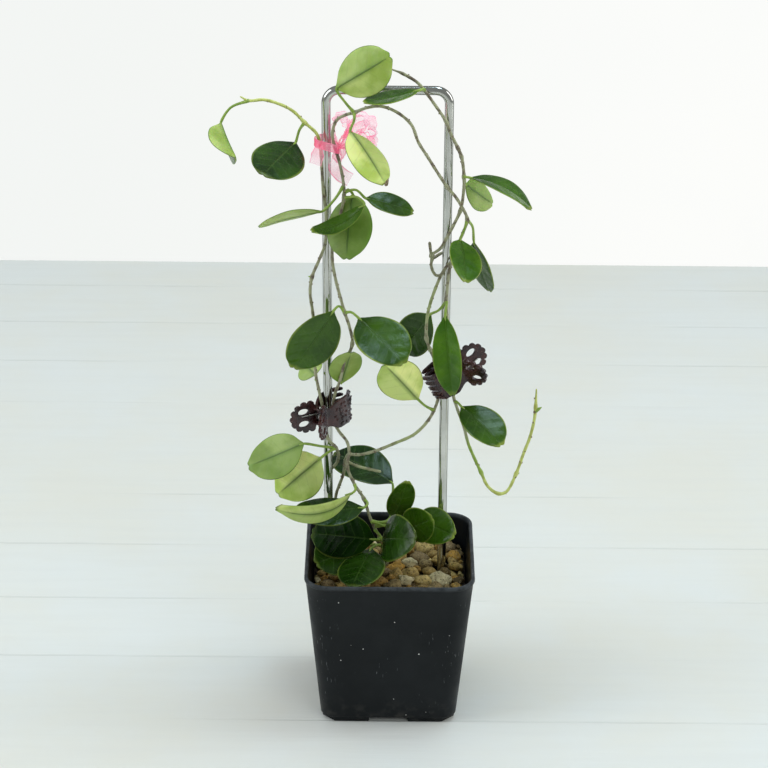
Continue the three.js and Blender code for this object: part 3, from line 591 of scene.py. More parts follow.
# For each stem: its route, the nodes where it swells, and its leaves
MAIN_ROUTE = [
    (-1.5, 11, 63), (-1.5, 11, 76), (-4.5, 9, 86), (-10.5, 5, 101.5), (-14, 2.5, 114.5), (-19, 0.5, 124),
    (-23, -1, 135.5), (-22, -1, 143), (-23, 0, 149), (-27.5, 3, 154), (-29.9, 4.3, 158.5), (-30.2, 4.4, 166),
    (-29.8, 4.3, 174), (-27, 2.8, 183), (-24.5, 1, 194.5), (-20.5, 0, 205.5), (-22, 0, 215), (-24.5, 0, 223),
    (-26.5, 1, 230), (-29.5, 2.5, 241.5), (-31, 3.2, 251.5), (-30.5, 3.3, 262), (-28, 3, 273),
    (-25, 1, 286), (-25.5, 1, 295), (-27.5, 2, 305), (-30, 3.2, 313), (-31, 3.2, 319.5), (-29, 2, 327),
    (-24.5, 0.5, 330.5), (-20, 0, 332), (-14, 0, 334.5), (-8, 0, 335.5), (-3, 0, 334.5), (3.5, 0, 331),
    (9, 0, 325.5), (12.5, 0, 316.5), (17.5, 1, 308), (23, 2.5, 298.5), (27.5, 2.8, 291.5),
    (31.5, 2, 287), (35, 1.5, 281.5), (38, 2.5, 274), (36, 2.5, 267), (34, 1.5, 262), (31.5, 0.5, 255),
    (29.5, 0.8, 248), (28.5, 1.5, 238), (28, 2.5, 228.5), (28.8, 3, 218), (31.2, 6, 206),
    (31.9, 7.4, 196), (31.9, 7.4, 181), (32.5, 5.8, 174.5), (35, 3, 167), (38, 1, 159.5),
    (41, 0, 148.5), (44, 0, 141), (48, 0, 132), (52, 0, 123.5), (57.5, 0, 119.5), (61.5, 0, 120.5),
    (66.5, 0, 131), (70, 0, 142.5), (73.5, 0, 153.5), (75.5, 0, 164.5), (76, 0, 180.5),
]
MAIN_NODES = [MAIN_ROUTE[i] for i in (4, 6, 15, 17, 23, 30, 39, 42, 48, 58, 60, 62)] + [(76, 0, 170)]
# Each leaf: petiole, tip, roll, width, cup, arch, tone of the upper side, tone of the underside; the tones were set to
# each leaf's brightness, so they hold painted light and shade as well as the leaf's own colour
MAIN_LEAVES = [
    ([(-20, 0, 332), (-24, -1, 337), (-29, -1, 345)], (-1.5, -6, 364), -110, 25, 0.14, 0.02, 0.5, 0.6),
    ([(-20, 0, 332), (-20, -3, 329), (-22, -3, 323)], (-4, -24, 302), 180, 21, 0.15, -0.03, 0.5, 0.82),
    ([(-25.5, 1, 292), (-30, -2.5, 286), (-36, -3, 280)], (-69, -6, 272), 34, 20, 0.1, 0.03, 0.45, 0.45),
    ([(-25, 1, 286), (-18, -4, 288), (-14.5, -7, 285.3)], (-42, -14, 273), -14, 13.5, 0.12, -0.15, 0.42, 0.4),
    ([(-25, 1, 288), (-23, 3.5, 289.5), (-20.5, 4, 286.5)], (-23.5, -14, 257.5), 190, 24.5, 0.08, -0.03, 0.5, 0.2),
    ([(-25, 1, 289), (-19, 3, 289.5), (-14, 3, 285)], (11, 4, 277), 25, 15, 0.1, 0.03, 0.35, 0.7),
    ([(38, 2.5, 274), (36.5, 1, 269), (34.5, 0, 264)], (37, -25, 250), -25, 19, 0.2, 0.04, 0.62, 0.5),
    ([(38, 2.5, 274), (41, 8, 268), (42, 12, 258)], (51, 17, 228), 170, 18, 0.05, 0.02, 0.4, 0.15),
    ([(28, 2.5, 228.5), (24, 4, 223), (20, 6, 220)], (6, 20, 192), -100, 21, 0.08, 0.03, 0.2, 0.2),
    ([(28, 2.5, 228.5), (28, -2, 228), (27.5, -4, 223.5)], (32, -14, 182), 45, 16, 0.3, 0.02, 0.72, 0.5),
    ([(33.6, 4.6, 171), (35, 3, 171), (37, 0, 170)], (58, -19, 156), 10, 23, 0.15, 0.04, 0.3, 0.4),
    ([(-24.5, 0, 223), (-21, -2, 224), (-17, -3, 221)], (6.5, -25, 204.5), 15, 29, 0.1, 0.03, 0.3, 0.4),
    ([(-24.5, 0, 223), (-27.5, -1, 227), (-30.5, -2, 224.5)], (-51.5, -3, 192), -110, 28, 0.1, 0.02, 0.38, 0.25),
    ([(-27, 2.8, 183), (-26.8, 5.4, 181), (-26.5, 6, 180)], (-21, -2, 202), -15, 18, 0.1, 0.02, 0.4, 0.5),
    ([(-19, 0.5, 124), (-18.5, -2, 122), (-21, -3, 120)], (-60.9, -22, 120.2), 77, 13, -0.1, -0.22, 0.5, 0.6),
    ([(-14, 2.5, 114.5), (-12, 0, 113), (-14, -3, 112)], (-52, -13.2, 114), -15, 23, -0.05, -0.02, 0.1, 0.4),
    ([(-8, 6.5, 96), (0, 9, 100), (1, 12.5, 108), (1, 14, 118.5)], (-32, 33, 126.3), -15, 27, 0.12, 0.06, 0.02, 0.3),
    ([(-10, 5, 100), (-4, 6, 99), (1.8, 8, 100.6)], (9.2, -5, 129.5), 155, 14.3, 0.12, 0.02, 0.4, 0.2),
    ([(-8, 6.5, 94), (-5, 5, 91), (-4, 3, 90)], (14, -27, 105), 65, 26, 0.02, 0.12, 0.06, 0.3),
    ([(-10, 5, 100), (-2, 5, 97), (8, 4, 95)], (23, -12, 111), 95, 20, 0.1, 0.03, 0.35, 0.3),
    ([(-8, 6.5, 96), (4, 11, 96), (14, 12, 99)], (35, -12, 100), 55, 20, 0.12, 0.06, 0.42, 0.3),
    ([(-6, 8, 88), (-5, 4, 89), (-8, 1, 91)], (-42, -17, 103.7), -80, 25.5, 0.02, -0.03, 0.0, 0.3),
    ([(-4, 9, 83), (-6, 5, 86), (-10, 0, 86)], (-19.8, -36, 81.5), 2, 25, -0.08, 0.01, 0.08, 0.3),
    ([(-4, 9, 83), (-9, 7, 85), (-15, 3, 85.5)], (-40, -13, 83), -35, 25, 0.02, 0.02, 0.1, 0.3),
]
LEFT_ROUTE = [
    (-34.3, 12.4, 63), (-34.3, 12.4, 97), (-33.3, 13, 124), (-28.8, 12, 131), (-27.8, 8, 138), (-29, 4.2, 143.5),
    (-33.5, 3, 150), (-35.8, 3.9, 157), (-36.1, 4.1, 167), (-38, 4, 177), (-40, 4, 188.5), (-40.5, 4.5, 202.5),
    (-41, 5, 219), (-42.5, 4, 232.5), (-41.5, 3, 241.5), (-38, 3, 250.5), (-35, 3.3, 258.5),
    (-34.2, 2, 266), (-34.2, 2, 277), (-35.5, 2.5, 287), (-36.3, 2, 300.5), (-37, 1.8, 311.5),
    (-38.8, 1, 320), (-45, 0, 326.5), (-51, -1, 333), (-58, -2, 337), (-65.5, -2, 339), (-73, -2, 338.5),
    (-77, -2, 340.5),
]
LEFT_NODES = [(-29, 4.2, 143.5), (-41.5, 3, 241.5), (-45, 0, 326.5), (-73, -2, 338.5)]
LEFT_LEAVES = [
    ([(-45, 0, 326.5), (-47.5, -1, 323), (-49.5, -2, 316.5)], (-64.9, -40, 312.3), -22, 26, -0.1, 0.01, 0.1, 0.4),
    ([(-73, -2, 338.5), (-82, -3, 335), (-87, -4, 327)], (-78, -31, 318), 130, 18, 0.6, 0.02, 0.45, 0.46),
    ([(-29, 4.2, 143.5), (-37, 0, 146.5), (-46, -2.5, 149)], (-76, 1, 133.5), 135, 25, 0.12, 0.02, 0.5, 0.28),
    ([(-29, 4.2, 143.5), (-33, 0, 143), (-37, -1, 140)], (-60.5, 4, 115.5), 105, 26, 0.12, 0.02, 0.5, 1.0),
    ([(-39.3, 4, 183), (-39.5, 8, 184), (-40, 13, 182)], (-47, 33, 180), 145, 15, 0.1, 0.02, 0.4, 0.4),
]
RIGHT_ROUTE = [
    (-30.4, 12.4, 63), (-30.4, 12.4, 97), (-29, 12.4, 112), (-25, 10, 126), (-24.2, 6.6, 135),
    (-22, 3.4, 140), (-16.5, 1.5, 141), (-9.5, 1, 143), (2, 0, 148.5), (12.5, 0, 154), (19.5, 2, 161),
    (23.3, 6.6, 166.5), (24.9, 9.8, 171.5), (25, 9.8, 180), (24.5, 8.7, 188),
    (22.4, 4.5, 195), (20, 1.4, 202), (18, 0, 209), (18, 0, 218), (19, 1, 225), (21.5, 2.5, 233.5),
    (26, 4, 244.5), (30, 4.2, 250), (33, 8, 251.5), (30, 12, 253), (25, 12.2, 251.5), (21, 9.5, 250),
    (20, 6, 253), (24.5, 4, 257.5), (27.5, 4, 263), (31, 4.5, 270), (34.5, 6.5, 277.5), (36, 7, 288),
    (36, 6, 296), (35.5, 6, 301.5), (34.5, 5.5, 307), (32.5, 5, 312), (28.5, 4, 320.5), (26.5, 4, 326),
    (21, 4, 334.5), (15, 3.6, 343), (11.5, 3.6, 347), (4, 4, 351.5), (-1.5, 4.5, 353.5),
]
RIGHT_NODES = [RIGHT_ROUTE[i] for i in (5, 17, 16, 27, 31, 33, 35, 36, 38, 42)]
RIGHT_LEAVES = [
    ([(15, 3.6, 343), (14.5, 1, 344.5), (12.5, -4.5, 345.5)], (-16, -9, 340.3), 0, 19, 0.08, -0.03, 0.42, 0.4),
    ([(36, 6, 296), (37, 3, 297), (39, 2, 297)], (71, -4, 282), 0, 20, 0.1, 0.1, 0.4, 0.4),
    ([(36, 6, 296), (36.5, 9, 294), (37, 11, 290)], (52, 25, 274), -110, 16, 0.1, 0.02, 0.35, 0.3),
    ([(22.3, 5.6, 165.5), (18, 3, 169), (14, 1.5, 173.5)], (-4, -9.5, 198.5), 70, 23, 0.08, 0.03, 0.9, 1.0),
]


def leafy_stem(name, route, knots, leaves, tone, extras=(), scales=(), seed=1):
    """One stem with its leaves, its bare side shoots and its scales, as one piece."""
    build = Build()
    shoot(build, route, 0.82, tone, knots, (5, 12), seed, True)
    for k, row in enumerate(leaves):
        leaf(build, *row, seed=seed * 100 + k)
    for k, (points, shade) in enumerate(extras):
        shoot(build, points, 0.78, shade, [points[0]], (4, 8), seed * 10 + k)
    for row in scales:
        scale_leaf(build, *row)
    return build.make(name + "_plant", [UPPER, LOWER, STEM, STUB], "root", (name,))


leafy_stem("main_leafy_stem", MAIN_ROUTE, MAIN_NODES, MAIN_LEAVES,
           lambda t: 0.22 + 0.12 * np.sin(t * 30) + 0.9 * np.clip((t - 0.8) / 0.1, 0, 1),
           [([(-25, 1, 288), (-26, 0, 281), (-27, -1, 277)], 0.2)],
           [((76, 0, 168), (1, -0.3, 0.9), 4), ((66.5, 0, 131), (0.9, -0.2, 0.5), 2.2),
            ((-3.7, -24.1, 302.4), (0.35, -0.1, 1), 3.6, DRY)], 3)
leafy_stem("left_leafy_stem", LEFT_ROUTE, LEFT_NODES, LEFT_LEAVES,
           lambda t: 0.2 + 0.12 * np.sin(t * 22) + 0.9 * np.clip((t - 0.79) / 0.07, 0, 1), (),
           [((-41.5, 3, 241.5), (-1, -0.3, 0.3), 2.2)], 5)
leafy_stem("right_leafy_stem", RIGHT_ROUTE, RIGHT_NODES, RIGHT_LEAVES,
           lambda t: 0.3 + 0.15 * np.sin(t * 26) - 0.2 * np.clip((t - 0.6) / 0.2, 0, 1),
           [([(-24.2, 7, 135), (-18, 5.5, 132.5), (-12, 4.5, 131.3), (-5.5, 4, 130)], 0.4),
            ([(20, 6, 252), (19, 5.5, 260)], 0.1),
            ([(20.5, 7, 251), (20, 6, 247), (22.5, 5.5, 242), (25, 5.5, 242)], 0.05)], (), 7)


# Pot
def round_square(half, radius, z, steps=12):
    """A level ring: a square with round corners and four points along each side."""
    ring = []
    reach = half - radius
    for corner, (sx, sy) in enumerate(((1, 1), (-1, 1), (-1, -1), (1, -1))):
        for i in range(steps + 1):
            angle = (corner + i / steps) * math.pi / 2
            ring.append((reach * sx + radius * math.cos(angle), reach * sy + radius * math.sin(angle), z))
        for f in (0.6 * reach, 0.2 * reach, -0.2 * reach, -0.6 * reach):
            ring.append((*((f, half), (-half, f), (-f, -half), (half, -f))[corner], z))
    return ring


def stack_rings(rings):
    """A closed solid from rings of points, with a flat cap at each end."""
    n, count = len(rings[0]), len(rings)
    faces = quads(count, n) + [tuple(reversed(range(n))), tuple(range((count - 1) * n, count * n))]
    return [p for r in rings for p in r], faces


def baked(obj):
    """The object's mesh with its modifiers worked in."""
    bpy.context.view_layer.update()
    made = bpy.data.meshes.new_from_object(obj.evaluated_get(bpy.context.evaluated_depsgraph_get()))
    old = obj.data
    obj.modifiers.clear()
    obj.data = made
    bpy.data.meshes.remove(old)


def prism(name, outline, low, high):
    n = len(outline)
    faces = [tuple(reversed(range(n))), tuple(range(n, 2 * n))] + quads(2, n)
    return new_object(name, [(x, y, z) for z in (low, high) for x, y in outline], faces)


def bevel(obj, width, segments, method, angle=math.radians(30)):
    edge = obj.modifiers.new("edge", "BEVEL")
    edge.width, edge.segments, edge.limit_method, edge.angle_limit = width, segments, method, angle
    baked(obj)


def pot_outer(z):
    return POT_BASE + (POT_NECK - POT_BASE) / (POT_TOP - 2.2 - POT_FOOT) * (z - POT_FOOT)


def pot_inner(z):
    return pot_outer(z) - POT_WALL


def make_pot():
    base = POT_BASE - 1.3
    rows = [(base, 7, POT_FOOT)]
    for a in (0.25, 0.5, 0.75, 1.0):
        turn = a * math.pi / 2
        rows.append((base + 1.4 * math.sin(turn), 7 + a, POT_FOOT + 1.6 * (1 - math.cos(turn))))
    rows += [(pot_outer(z), 8 + 4.5 * (z - POT_FOOT) / 80, z) for z in (12, 25, 38, 50, 62, 74, 83.3)]
    rows += [(pot_outer(83.7) + 0.12, 12.6, 83.7), (44.85, 13, 84.0), (45, 13.2, 84.4), (45, 13.2, 85.3),
             (44.85, 13.05, 85.75), (44.45, 12.7, POT_TOP), (43.7, 12.1, POT_TOP), (43.3, 11.8, 85.8),
             (43.1, 11.6, 85.4)]
    rows += [(pot_inner(z), 6.6 + 5 * (z - 3.8) / 82.2, z) for z in (78, 66, 50, 34, 18, 6.5)]
    rows += [(pot_inner(4.4) - 0.6, 6.4, 4.3), (pot_inner(4.0) - 1.6, 6, 3.8)]
    shell = new_object("nursery_pot", *stack_rings([round_square(*row) for row in rows]), [POT])
    tools = []
    near, far, cut_off = 10.4, 35.35, 28.6
    for sx, sy in ((1, 1), (-1, 1), (-1, -1), (1, -1)):
        corner = ((near, near), (far, near), (far, cut_off), (cut_off, far), (near, far))
        foot = prism("foot", [(x * sx, y * sy) for x, y in corner][::sx * sy], 0, 3.0)
        bevel(foot, 0.5, 2, "NONE")
        tools.append((foot, "UNION"))
    for x, y in ((0, 22), (22, 0), (0, -22), (-22, 0), (0, 0)):
        tools.append((prism("hole", circle(x, y, 4, 40), -1, 7), "DIFFERENCE"))
    for tool, how in tools:
        cut = shell.modifiers.new("cut", "BOOLEAN")
        cut.object, cut.operation, cut.solver = tool, how, "EXACT"
        baked(shell)
        bpy.data.objects.remove(tool)
    mesh = shell.data
    mesh.transform(Matrix.Translation((POT_X, POT_Y, 0)))
    mesh.transform(Matrix.Scale(0.001, 4))
    mesh.name = "nursery_pot"
    mesh.shade_smooth()
    mesh.set_sharp_from_angle(angle=math.radians(42))
    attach(shell, "root")
    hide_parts("pot")


make_pot()


# Hoop
def make_hoop():
    foot, top, corner, right = 14.0, 341.3, 7.0, 28.0
    left = lambda z: -32.35 - 0.0064 * (z - foot)
    arc = [(math.sin(a), math.cos(a)) for a in np.linspace(0, 1, 14)[1:] * math.pi / 2]
    points = [(left(z), HOOP_Y, z) for z in np.linspace(foot, top - corner, 60)]
    turn = left(top - corner) + corner
    points += [(turn - corner * c, HOOP_Y, top - corner + corner * s) for s, c in arc]
    points += [(x, HOOP_Y, top) for x in np.linspace(turn, right - corner, 12)[1:]]
    points += [(right - corner + corner * s, HOOP_Y, top - corner + corner * c) for s, c in arc]
    points += [(right, HOOP_Y, z) for z in np.linspace(top - corner, foot, 60)[1:]]
    build = Build()
    tube(build, points, ROD_RADIUS, 40, 0)
    build.make("hoop_rod", [ROD], "root", ("hoop_trellis",))


make_hoop()


# Gravel
def make_gravel():
    """A bed of grit with stones settled on it: the larger ones first, clear of each other, the rod and the stems."""
    build = Build()
    edge = lambda z: pot_inner(z) - 0.35
    rings = [round_square(edge(z), 6.4 + 5 * (z - 3.8) / 82, z, 6) for z in (4.2, 30, 55, GRIT_LEVEL)]
    rings += [round_square(edge(GRIT_LEVEL) * f, 9 * f, GRIT_LEVEL + 0.6 * (1 - f), 6) for f in (0.8, 0.6, 0.4, 0.2)]
    build.put(*stack_rings(rings), 1)
    rng = random.Random(11)
    holes = [(-32.5, HOOP_Y, 2.7), (28, HOOP_Y, 2.7), (-1.5, 11, 1.5), (-34.3, 12.4, 1.5), (-30.4, 12.4, 1.5)]
    placed = []
    for size, low, high, limit, tries in ((4.9, 69.6, 72.6, 40, 260), (3.9, 69.0, 72.8, 40, 900),
                                          (2.9, 68.4, 72.4, 40, 2400), (2.0, 67.8, 72.0, 41, 3600)):
        for _ in range(tries):
            x, y = rng.uniform(-limit, limit), rng.uniform(-limit, limit)
            s = size * rng.uniform(0.8, 1.2)
            if max(abs(x), abs(y)) > pot_inner(72) - s - 1.2:
                continue
            if math.hypot(max(abs(x) - 29, 0), max(abs(y) - 29, 0)) > 11.5 - s:
                continue
            if any(math.hypot(x - a, y - b) < s * 0.95 + r for a, b, r in holes):
                continue
            z = rng.uniform(low, high)
            if any(math.dist((x, y, z * 1.25), (p, q, w * 1.25)) < 0.80 * (s + t) for p, q, w, t in placed):
                continue
            placed.append((x, y, z, s))
    for x, y, z, s in placed:
        shape = (s * rng.uniform(0.85, 1.2), s * rng.uniform(0.7, 0.95), s * rng.uniform(0.62, 0.85))
        turn = Matrix.Rotation(rng.uniform(0, 6.28), 4, "Z") @ Matrix.Rotation(rng.uniform(-0.5, 0.5), 4, "X")
        tone = rng.choice((0.0, 0.15, 0.22, 0.3, 0.45, 0.5, 0.62, 0.66, 0.78, 0.8, 0.92, rng.random()))
        if rng.random() < 0.05:
            tone = 1.0
        detail = 4 if x > 4 and y < -5 and s > 3 else 3
        bump = rng.uniform(0.12, 0.26)
        ball(build, (x, y, min(z, 76.0 - shape[2] * 1.15)), shape, 0, detail, tone, bump, rng, turn)
    build.make("gravel_bed", [STONE, GRIT], "root", ("growing_medium",))


make_gravel()


# Claw clips
def clip_frame(centre, wings, backwards):
    """A clip's own frame: X along the pin, Y backwards, Z towards the wings."""
    z = Vector(wings).normalized()
    y = Vector(backwards)
    y = (y - z * z.dot(y)).normalized()
    x = y.cross(z)
    m = Matrix((x, y, z)).transposed().to_4x4()
    m.translation = Vector(centre)
    return m


def profile_line():
    """The side view of a lever, from the wing's end to the teeth, as depth and height."""
    keys = [(10.3, 13.2), (8.2, 9), (5.4, 4), (3.8, 0), (5.2, -3.5), (6.1, -7.5), (6.1, -12.5), (5, -17), (1.6, -20.5)]
    pts = [vec(k) for k in keys]
    pts = [2 * pts[0] - pts[1]] + pts + [2 * pts[-1] - pts[-2]]
    out = []
    for a, b, c, d in zip(pts, pts[1:], pts[2:], pts[3:]):
        square, cube = 2 * a - 5 * b + 4 * c - d, 3 * b - a - 3 * c + d
        out += [0.5 * (2 * b + (c - a) * t + square * t * t + cube * t ** 3) for t in np.linspace(0, 1, 16)[:-1]]
    return np.array(out + [pts[-2]])


def wing_point(i, radius):
    """A point round the wing, i beads from its start."""
    angle = math.radians(-25 + 230 * i / BEADS)
    return radius * math.cos(angle), 4 + radius * math.sin(angle)


def outline_points():
    """The lever seen flat: a beaded wing, a waist and five teeth."""
    per = 8
    pts = [wing_point(i / per, 7.7 + 1.4 * abs(math.sin(math.pi * i / per)) ** 0.55) for i in range(BEADS * per + 1)]
    bend = [(-5.2, 0), (-5.1, -1.4), (-5.5, -2.8), (-6.6, -4.4), (-7.7, -6.2), (-8, -8), (-8, -13.4)]
    pts += bend
    tooth = [(-1.35, -13.9), (-1.0, -15), (-0.85, -19.2), (-0.5, -20.2), (0, -20.45)]
    tooth += [(-x, z) for x, z in tooth[-2::-1]]
    pts += [((k - 2) * TOOTH_STEP + x, z) for k in range(TEETH) for x, z in tooth]
    pts += [(-x, z) for x, z in reversed(bend)]
    return pts


def flat_plate(outline, holes, spacing):
    """Vertices and triangles of a flat plate with holes, with inner points so that it can bend."""
    coords, edges, rim = [], [], []
    for loop in [outline] + holes:
        edges += [(len(rim) + i, len(rim) + (i + 1) % len(loop)) for i in range(len(loop))]
        rim += loop
        coords += [Vector(p) for p in loop]

    def inside(p, loop):
        hit = False
        for (x0, y0), (x1, y1) in zip(loop, loop[1:] + loop[:1]):
            if (y0 > p[1]) != (y1 > p[1]) and p[0] < (x1 - x0) * (p[1] - y0) / (y1 - y0) + x0:
                hit = not hit
        return hit

    def solid(p):
        return inside(p, outline) and not any(inside(p, h) for h in holes)

    xs, zs = zip(*outline)
    x = min(xs)
    while x < max(xs):
        z = min(zs)
        while z < max(zs):
            if solid((x, z)) and min(math.hypot(x - q[0], z - q[1]) for q in rim) >= spacing * 0.55:
                coords.append(Vector((x, z)))
            z += spacing
        x += spacing
    verts, _, faces, *_ = delaunay_2d_cdt(coords, edges, [], 0, 1e-5)
    keep = [tuple(f) for f in faces if solid(sum((verts[i] for i in f), Vector((0, 0))) / len(f))]
    return [tuple(v) for v in verts], keep


def thick_piece(verts, faces, thickness, round_off):
    """A plate given its thickness and soft edges, as points and faces."""
    obj = new_object("plate", verts, faces)
    bm = bmesh.new()
    bm.from_mesh(obj.data)
    bmesh.ops.recalc_face_normals(bm, faces=bm.faces)
    bm.to_mesh(obj.data)
    bm.free()
    solid = obj.modifiers.new("thick", "SOLIDIFY")
    solid.thickness, solid.offset, solid.use_even_offset = thickness, 0, True
    baked(obj)
    bevel(obj, round_off, 3, "ANGLE", math.radians(50))
    points = np.array([v.co[:] for v in obj.data.vertices])
    faces = [tuple(p.vertices) for p in obj.data.polygons]
    bpy.data.objects.remove(obj)
    return points, faces


def lever_parts():
    """The bent plate of a lever, and the knobs on its wing, body and teeth."""
    line = profile_line()[::-1]
    depth = lambda z: float(np.interp(z, line[:, 1], line[:, 0]))
    turns = np.linspace(0, TAU, 25)[:-1]
    grips = [[(s * 3.6 + 1.9 * math.cos(a), 6.4 + 2.5 * math.sin(a)) for a in turns] for s in (-1, 1)]
    plate, faces = flat_plate(outline_points(), grips, 0.9)
    parts = [thick_piece([(x, depth(z), z) for x, z in plate], faces, 1.35, 0.42)]
    dots = Build()
    for i in range(BEADS):
        x, z = wing_point(i + 0.5, 7.6)
        ball(dots, (x, depth(z) + 0.42, z), (1.15, 0.75, 1.15), 0, 3)
    rng = random.Random(4)
    for z in (-5.2, -8.6, -12.0):
        for k in range(5):
            x, up = (k - 2) * 2.9 + rng.uniform(-0.7, 0.7), z + rng.uniform(-0.8, 0.8)
            size = rng.uniform(0.75, 1.25)
            if abs(x) < 5 or up < -7:
                turn = Matrix.Rotation(rng.uniform(0, 3.1), 4, "Y")
                ball(dots, (x, depth(up) + 0.35, up), (size * 1.25, 0.95, size * 0.8), 0, 3, turn=turn)
    for k in range(TEETH):
        for z in (-15.8, -18.6):
            up = z + rng.uniform(-0.5, 0.5)
            ball(dots, ((k - 2) * TOOTH_STEP, depth(up) + 0.3, up), (0.95, 0.8, 1.3), 0, 3)
    parts.append((np.concatenate(dots.verts), dots.faces))
    return parts


def ear(x):
    """A lug with an eye for the pin, at one place along it."""
    turns = np.linspace(math.pi / 2, 3 * math.pi / 2, 22)
    outline = [(4, -1.9), (4, 1.9)] + [(1.9 * math.cos(a), 1.9 * math.sin(a)) for a in turns]
    eye = [(1.28 * math.cos(a), 1.28 * math.sin(a)) for a in np.linspace(0, TAU, 29)[:-1]]
    verts, faces = flat_plate(outline, [eye], 5)
    return thick_piece([(x, y, z) for y, z in verts], faces, 1.0, 0.18)


LEVER = lever_parts()


def moved(points, m):
    """Points of a clip's own frame in the layout."""
    m = np.array(m)
    return np.asarray(points) @ m[:3, :3].T + m[:3, 3]


def clip_lever(name, m, ears_at, turned, body, node):
    build = Build()
    for verts, faces in LEVER + [ear(x) for x in ears_at]:
        build.put(moved(verts * [-1, -1, 1] if turned else verts, m), faces, 0)
    obj = build.make(name, [CLIP], body, (node,))
    obj.data.set_sharp_from_angle(angle=math.radians(48))


def clip_spring(name, m, node):
    """A torsion spring, with one leg out to the still lever and one to the jaw."""
    turns, coil, length = 3, 1.55, 3.0
    points = [(-length / 2, -6.2, 8), (-length / 2, -3.3, 3.4)]
    count = turns * 8 + 6
    for i in range(count + 1):
        a = -math.pi * 0.75 + i * math.pi / 4 + math.pi
        points.append((-length / 2 + length * i / count, coil * math.cos(a), coil * math.sin(a)))
    points += [(length / 2, 3.3, 3.4), (length / 2, 6.2, 8)]
    build = Build()
    tube(build, moved(smooth_path(points, 0.35)[0], m), 0.3, 12, 0)
    obj = build.make(name, [WIRE], None, (node,))
    start, end = metres(moved([(0, 0.8, 0), (0, 3.2, 0)], m)).tolist()
    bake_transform(obj)


def clip_pin(name, m, node):
    xs = np.linspace(-5.2, 5.2, 24)
    build = Build()
    path = np.stack([xs, 0 * xs, 0 * xs], axis=1)
    tube(build, moved(path, m), np.where(np.abs(xs) > 4.9, 0.7, 0.8), 28, 0)
    build.make(name, [WIRE], "root", (node,))


def claw_clip(side, centre, wings, backwards):
    m = clip_frame(centre, wings, backwards)
    clip_lever(side + "_clip_back_jaw", m, (-4.4, 4.4), False, side + "_clip_jaw", side + "_clip_back_lever")
    clip_lever(side + "_clip_front_jaw", m, (-3.1, 3.1), True, "root", side + "_clip_front_lever")
    clip_spring(side + "_clip_coil", m, side + "_clip_spring")
    clip_pin(side + "_clip_hinge_pin", m, side + "_clip_pin")


claw_clip("left", (-36.8, -0.5, 164), (-0.62, -0.75, -0.1), (-0.77, 0.64, 0))
claw_clip("right", (37.5, 6.3, 188.6), (0.83, -0.1, 0.47), (0, 0.98, 0.2))


# Ribbon: a band of organza round the hoop, with eight ruffled loops and two loose tails at its knot
def ribbon_strip(build, points, widths, across, ruffle, tone, seed, lanes=12):
    """A strip of cloth along a path, wavy towards its edges."""
    rng = random.Random(seed)
    path, even = smooth_path(points, 0.5)
    tangents = np.gradient(path, axis=0)
    tangents /= np.linalg.norm(tangents, axis=1)[:, None]
    t = even / even[-1]
    width = np.interp(t, np.linspace(0, 1, len(widths)), widths)
    side = vec(across)
    side = side - tangents * (tangents @ side)[:, None]
    side /= np.linalg.norm(side, axis=1)[:, None]
    out = np.cross(tangents, side)
    u = np.linspace(-1, 1, lanes + 1)
    edge = np.abs(u)
    a, b, c, d = (rng.uniform(0, 6.28) for _ in range(4))
    verts, maps, tones = [], [], []
    for i, s in enumerate(even):
        amp = ruffle * math.sin(math.pi * min(max(t[i], 0.02), 0.98)) ** 0.5
        lift = amp * (0.55 * np.sin(s * 0.95 + a + 1.3 * u) * edge + 0.35 * np.sin(u * 5 + b + s * 0.18)
                      + 0.25 * np.sin(s * 1.9 + c) * u)
        verts.append(path[i] + np.outer(u * width[i] / 2, side[i]) + np.outer(lift, out[i]))
        maps.append(np.stack([(u + 1) / 2, np.full_like(u, s * 0.05), u, np.full_like(u, s)], axis=1))
        tones.append(np.clip(tone + 0.25 * np.sin(s * 0.5 + d) * (0.4 + 0.6 * edge), 0, 1))
    faces = quads(len(path), lanes + 1, False)
    build.put(np.concatenate(verts), faces, 0, np.concatenate(maps), np.concatenate(tones))


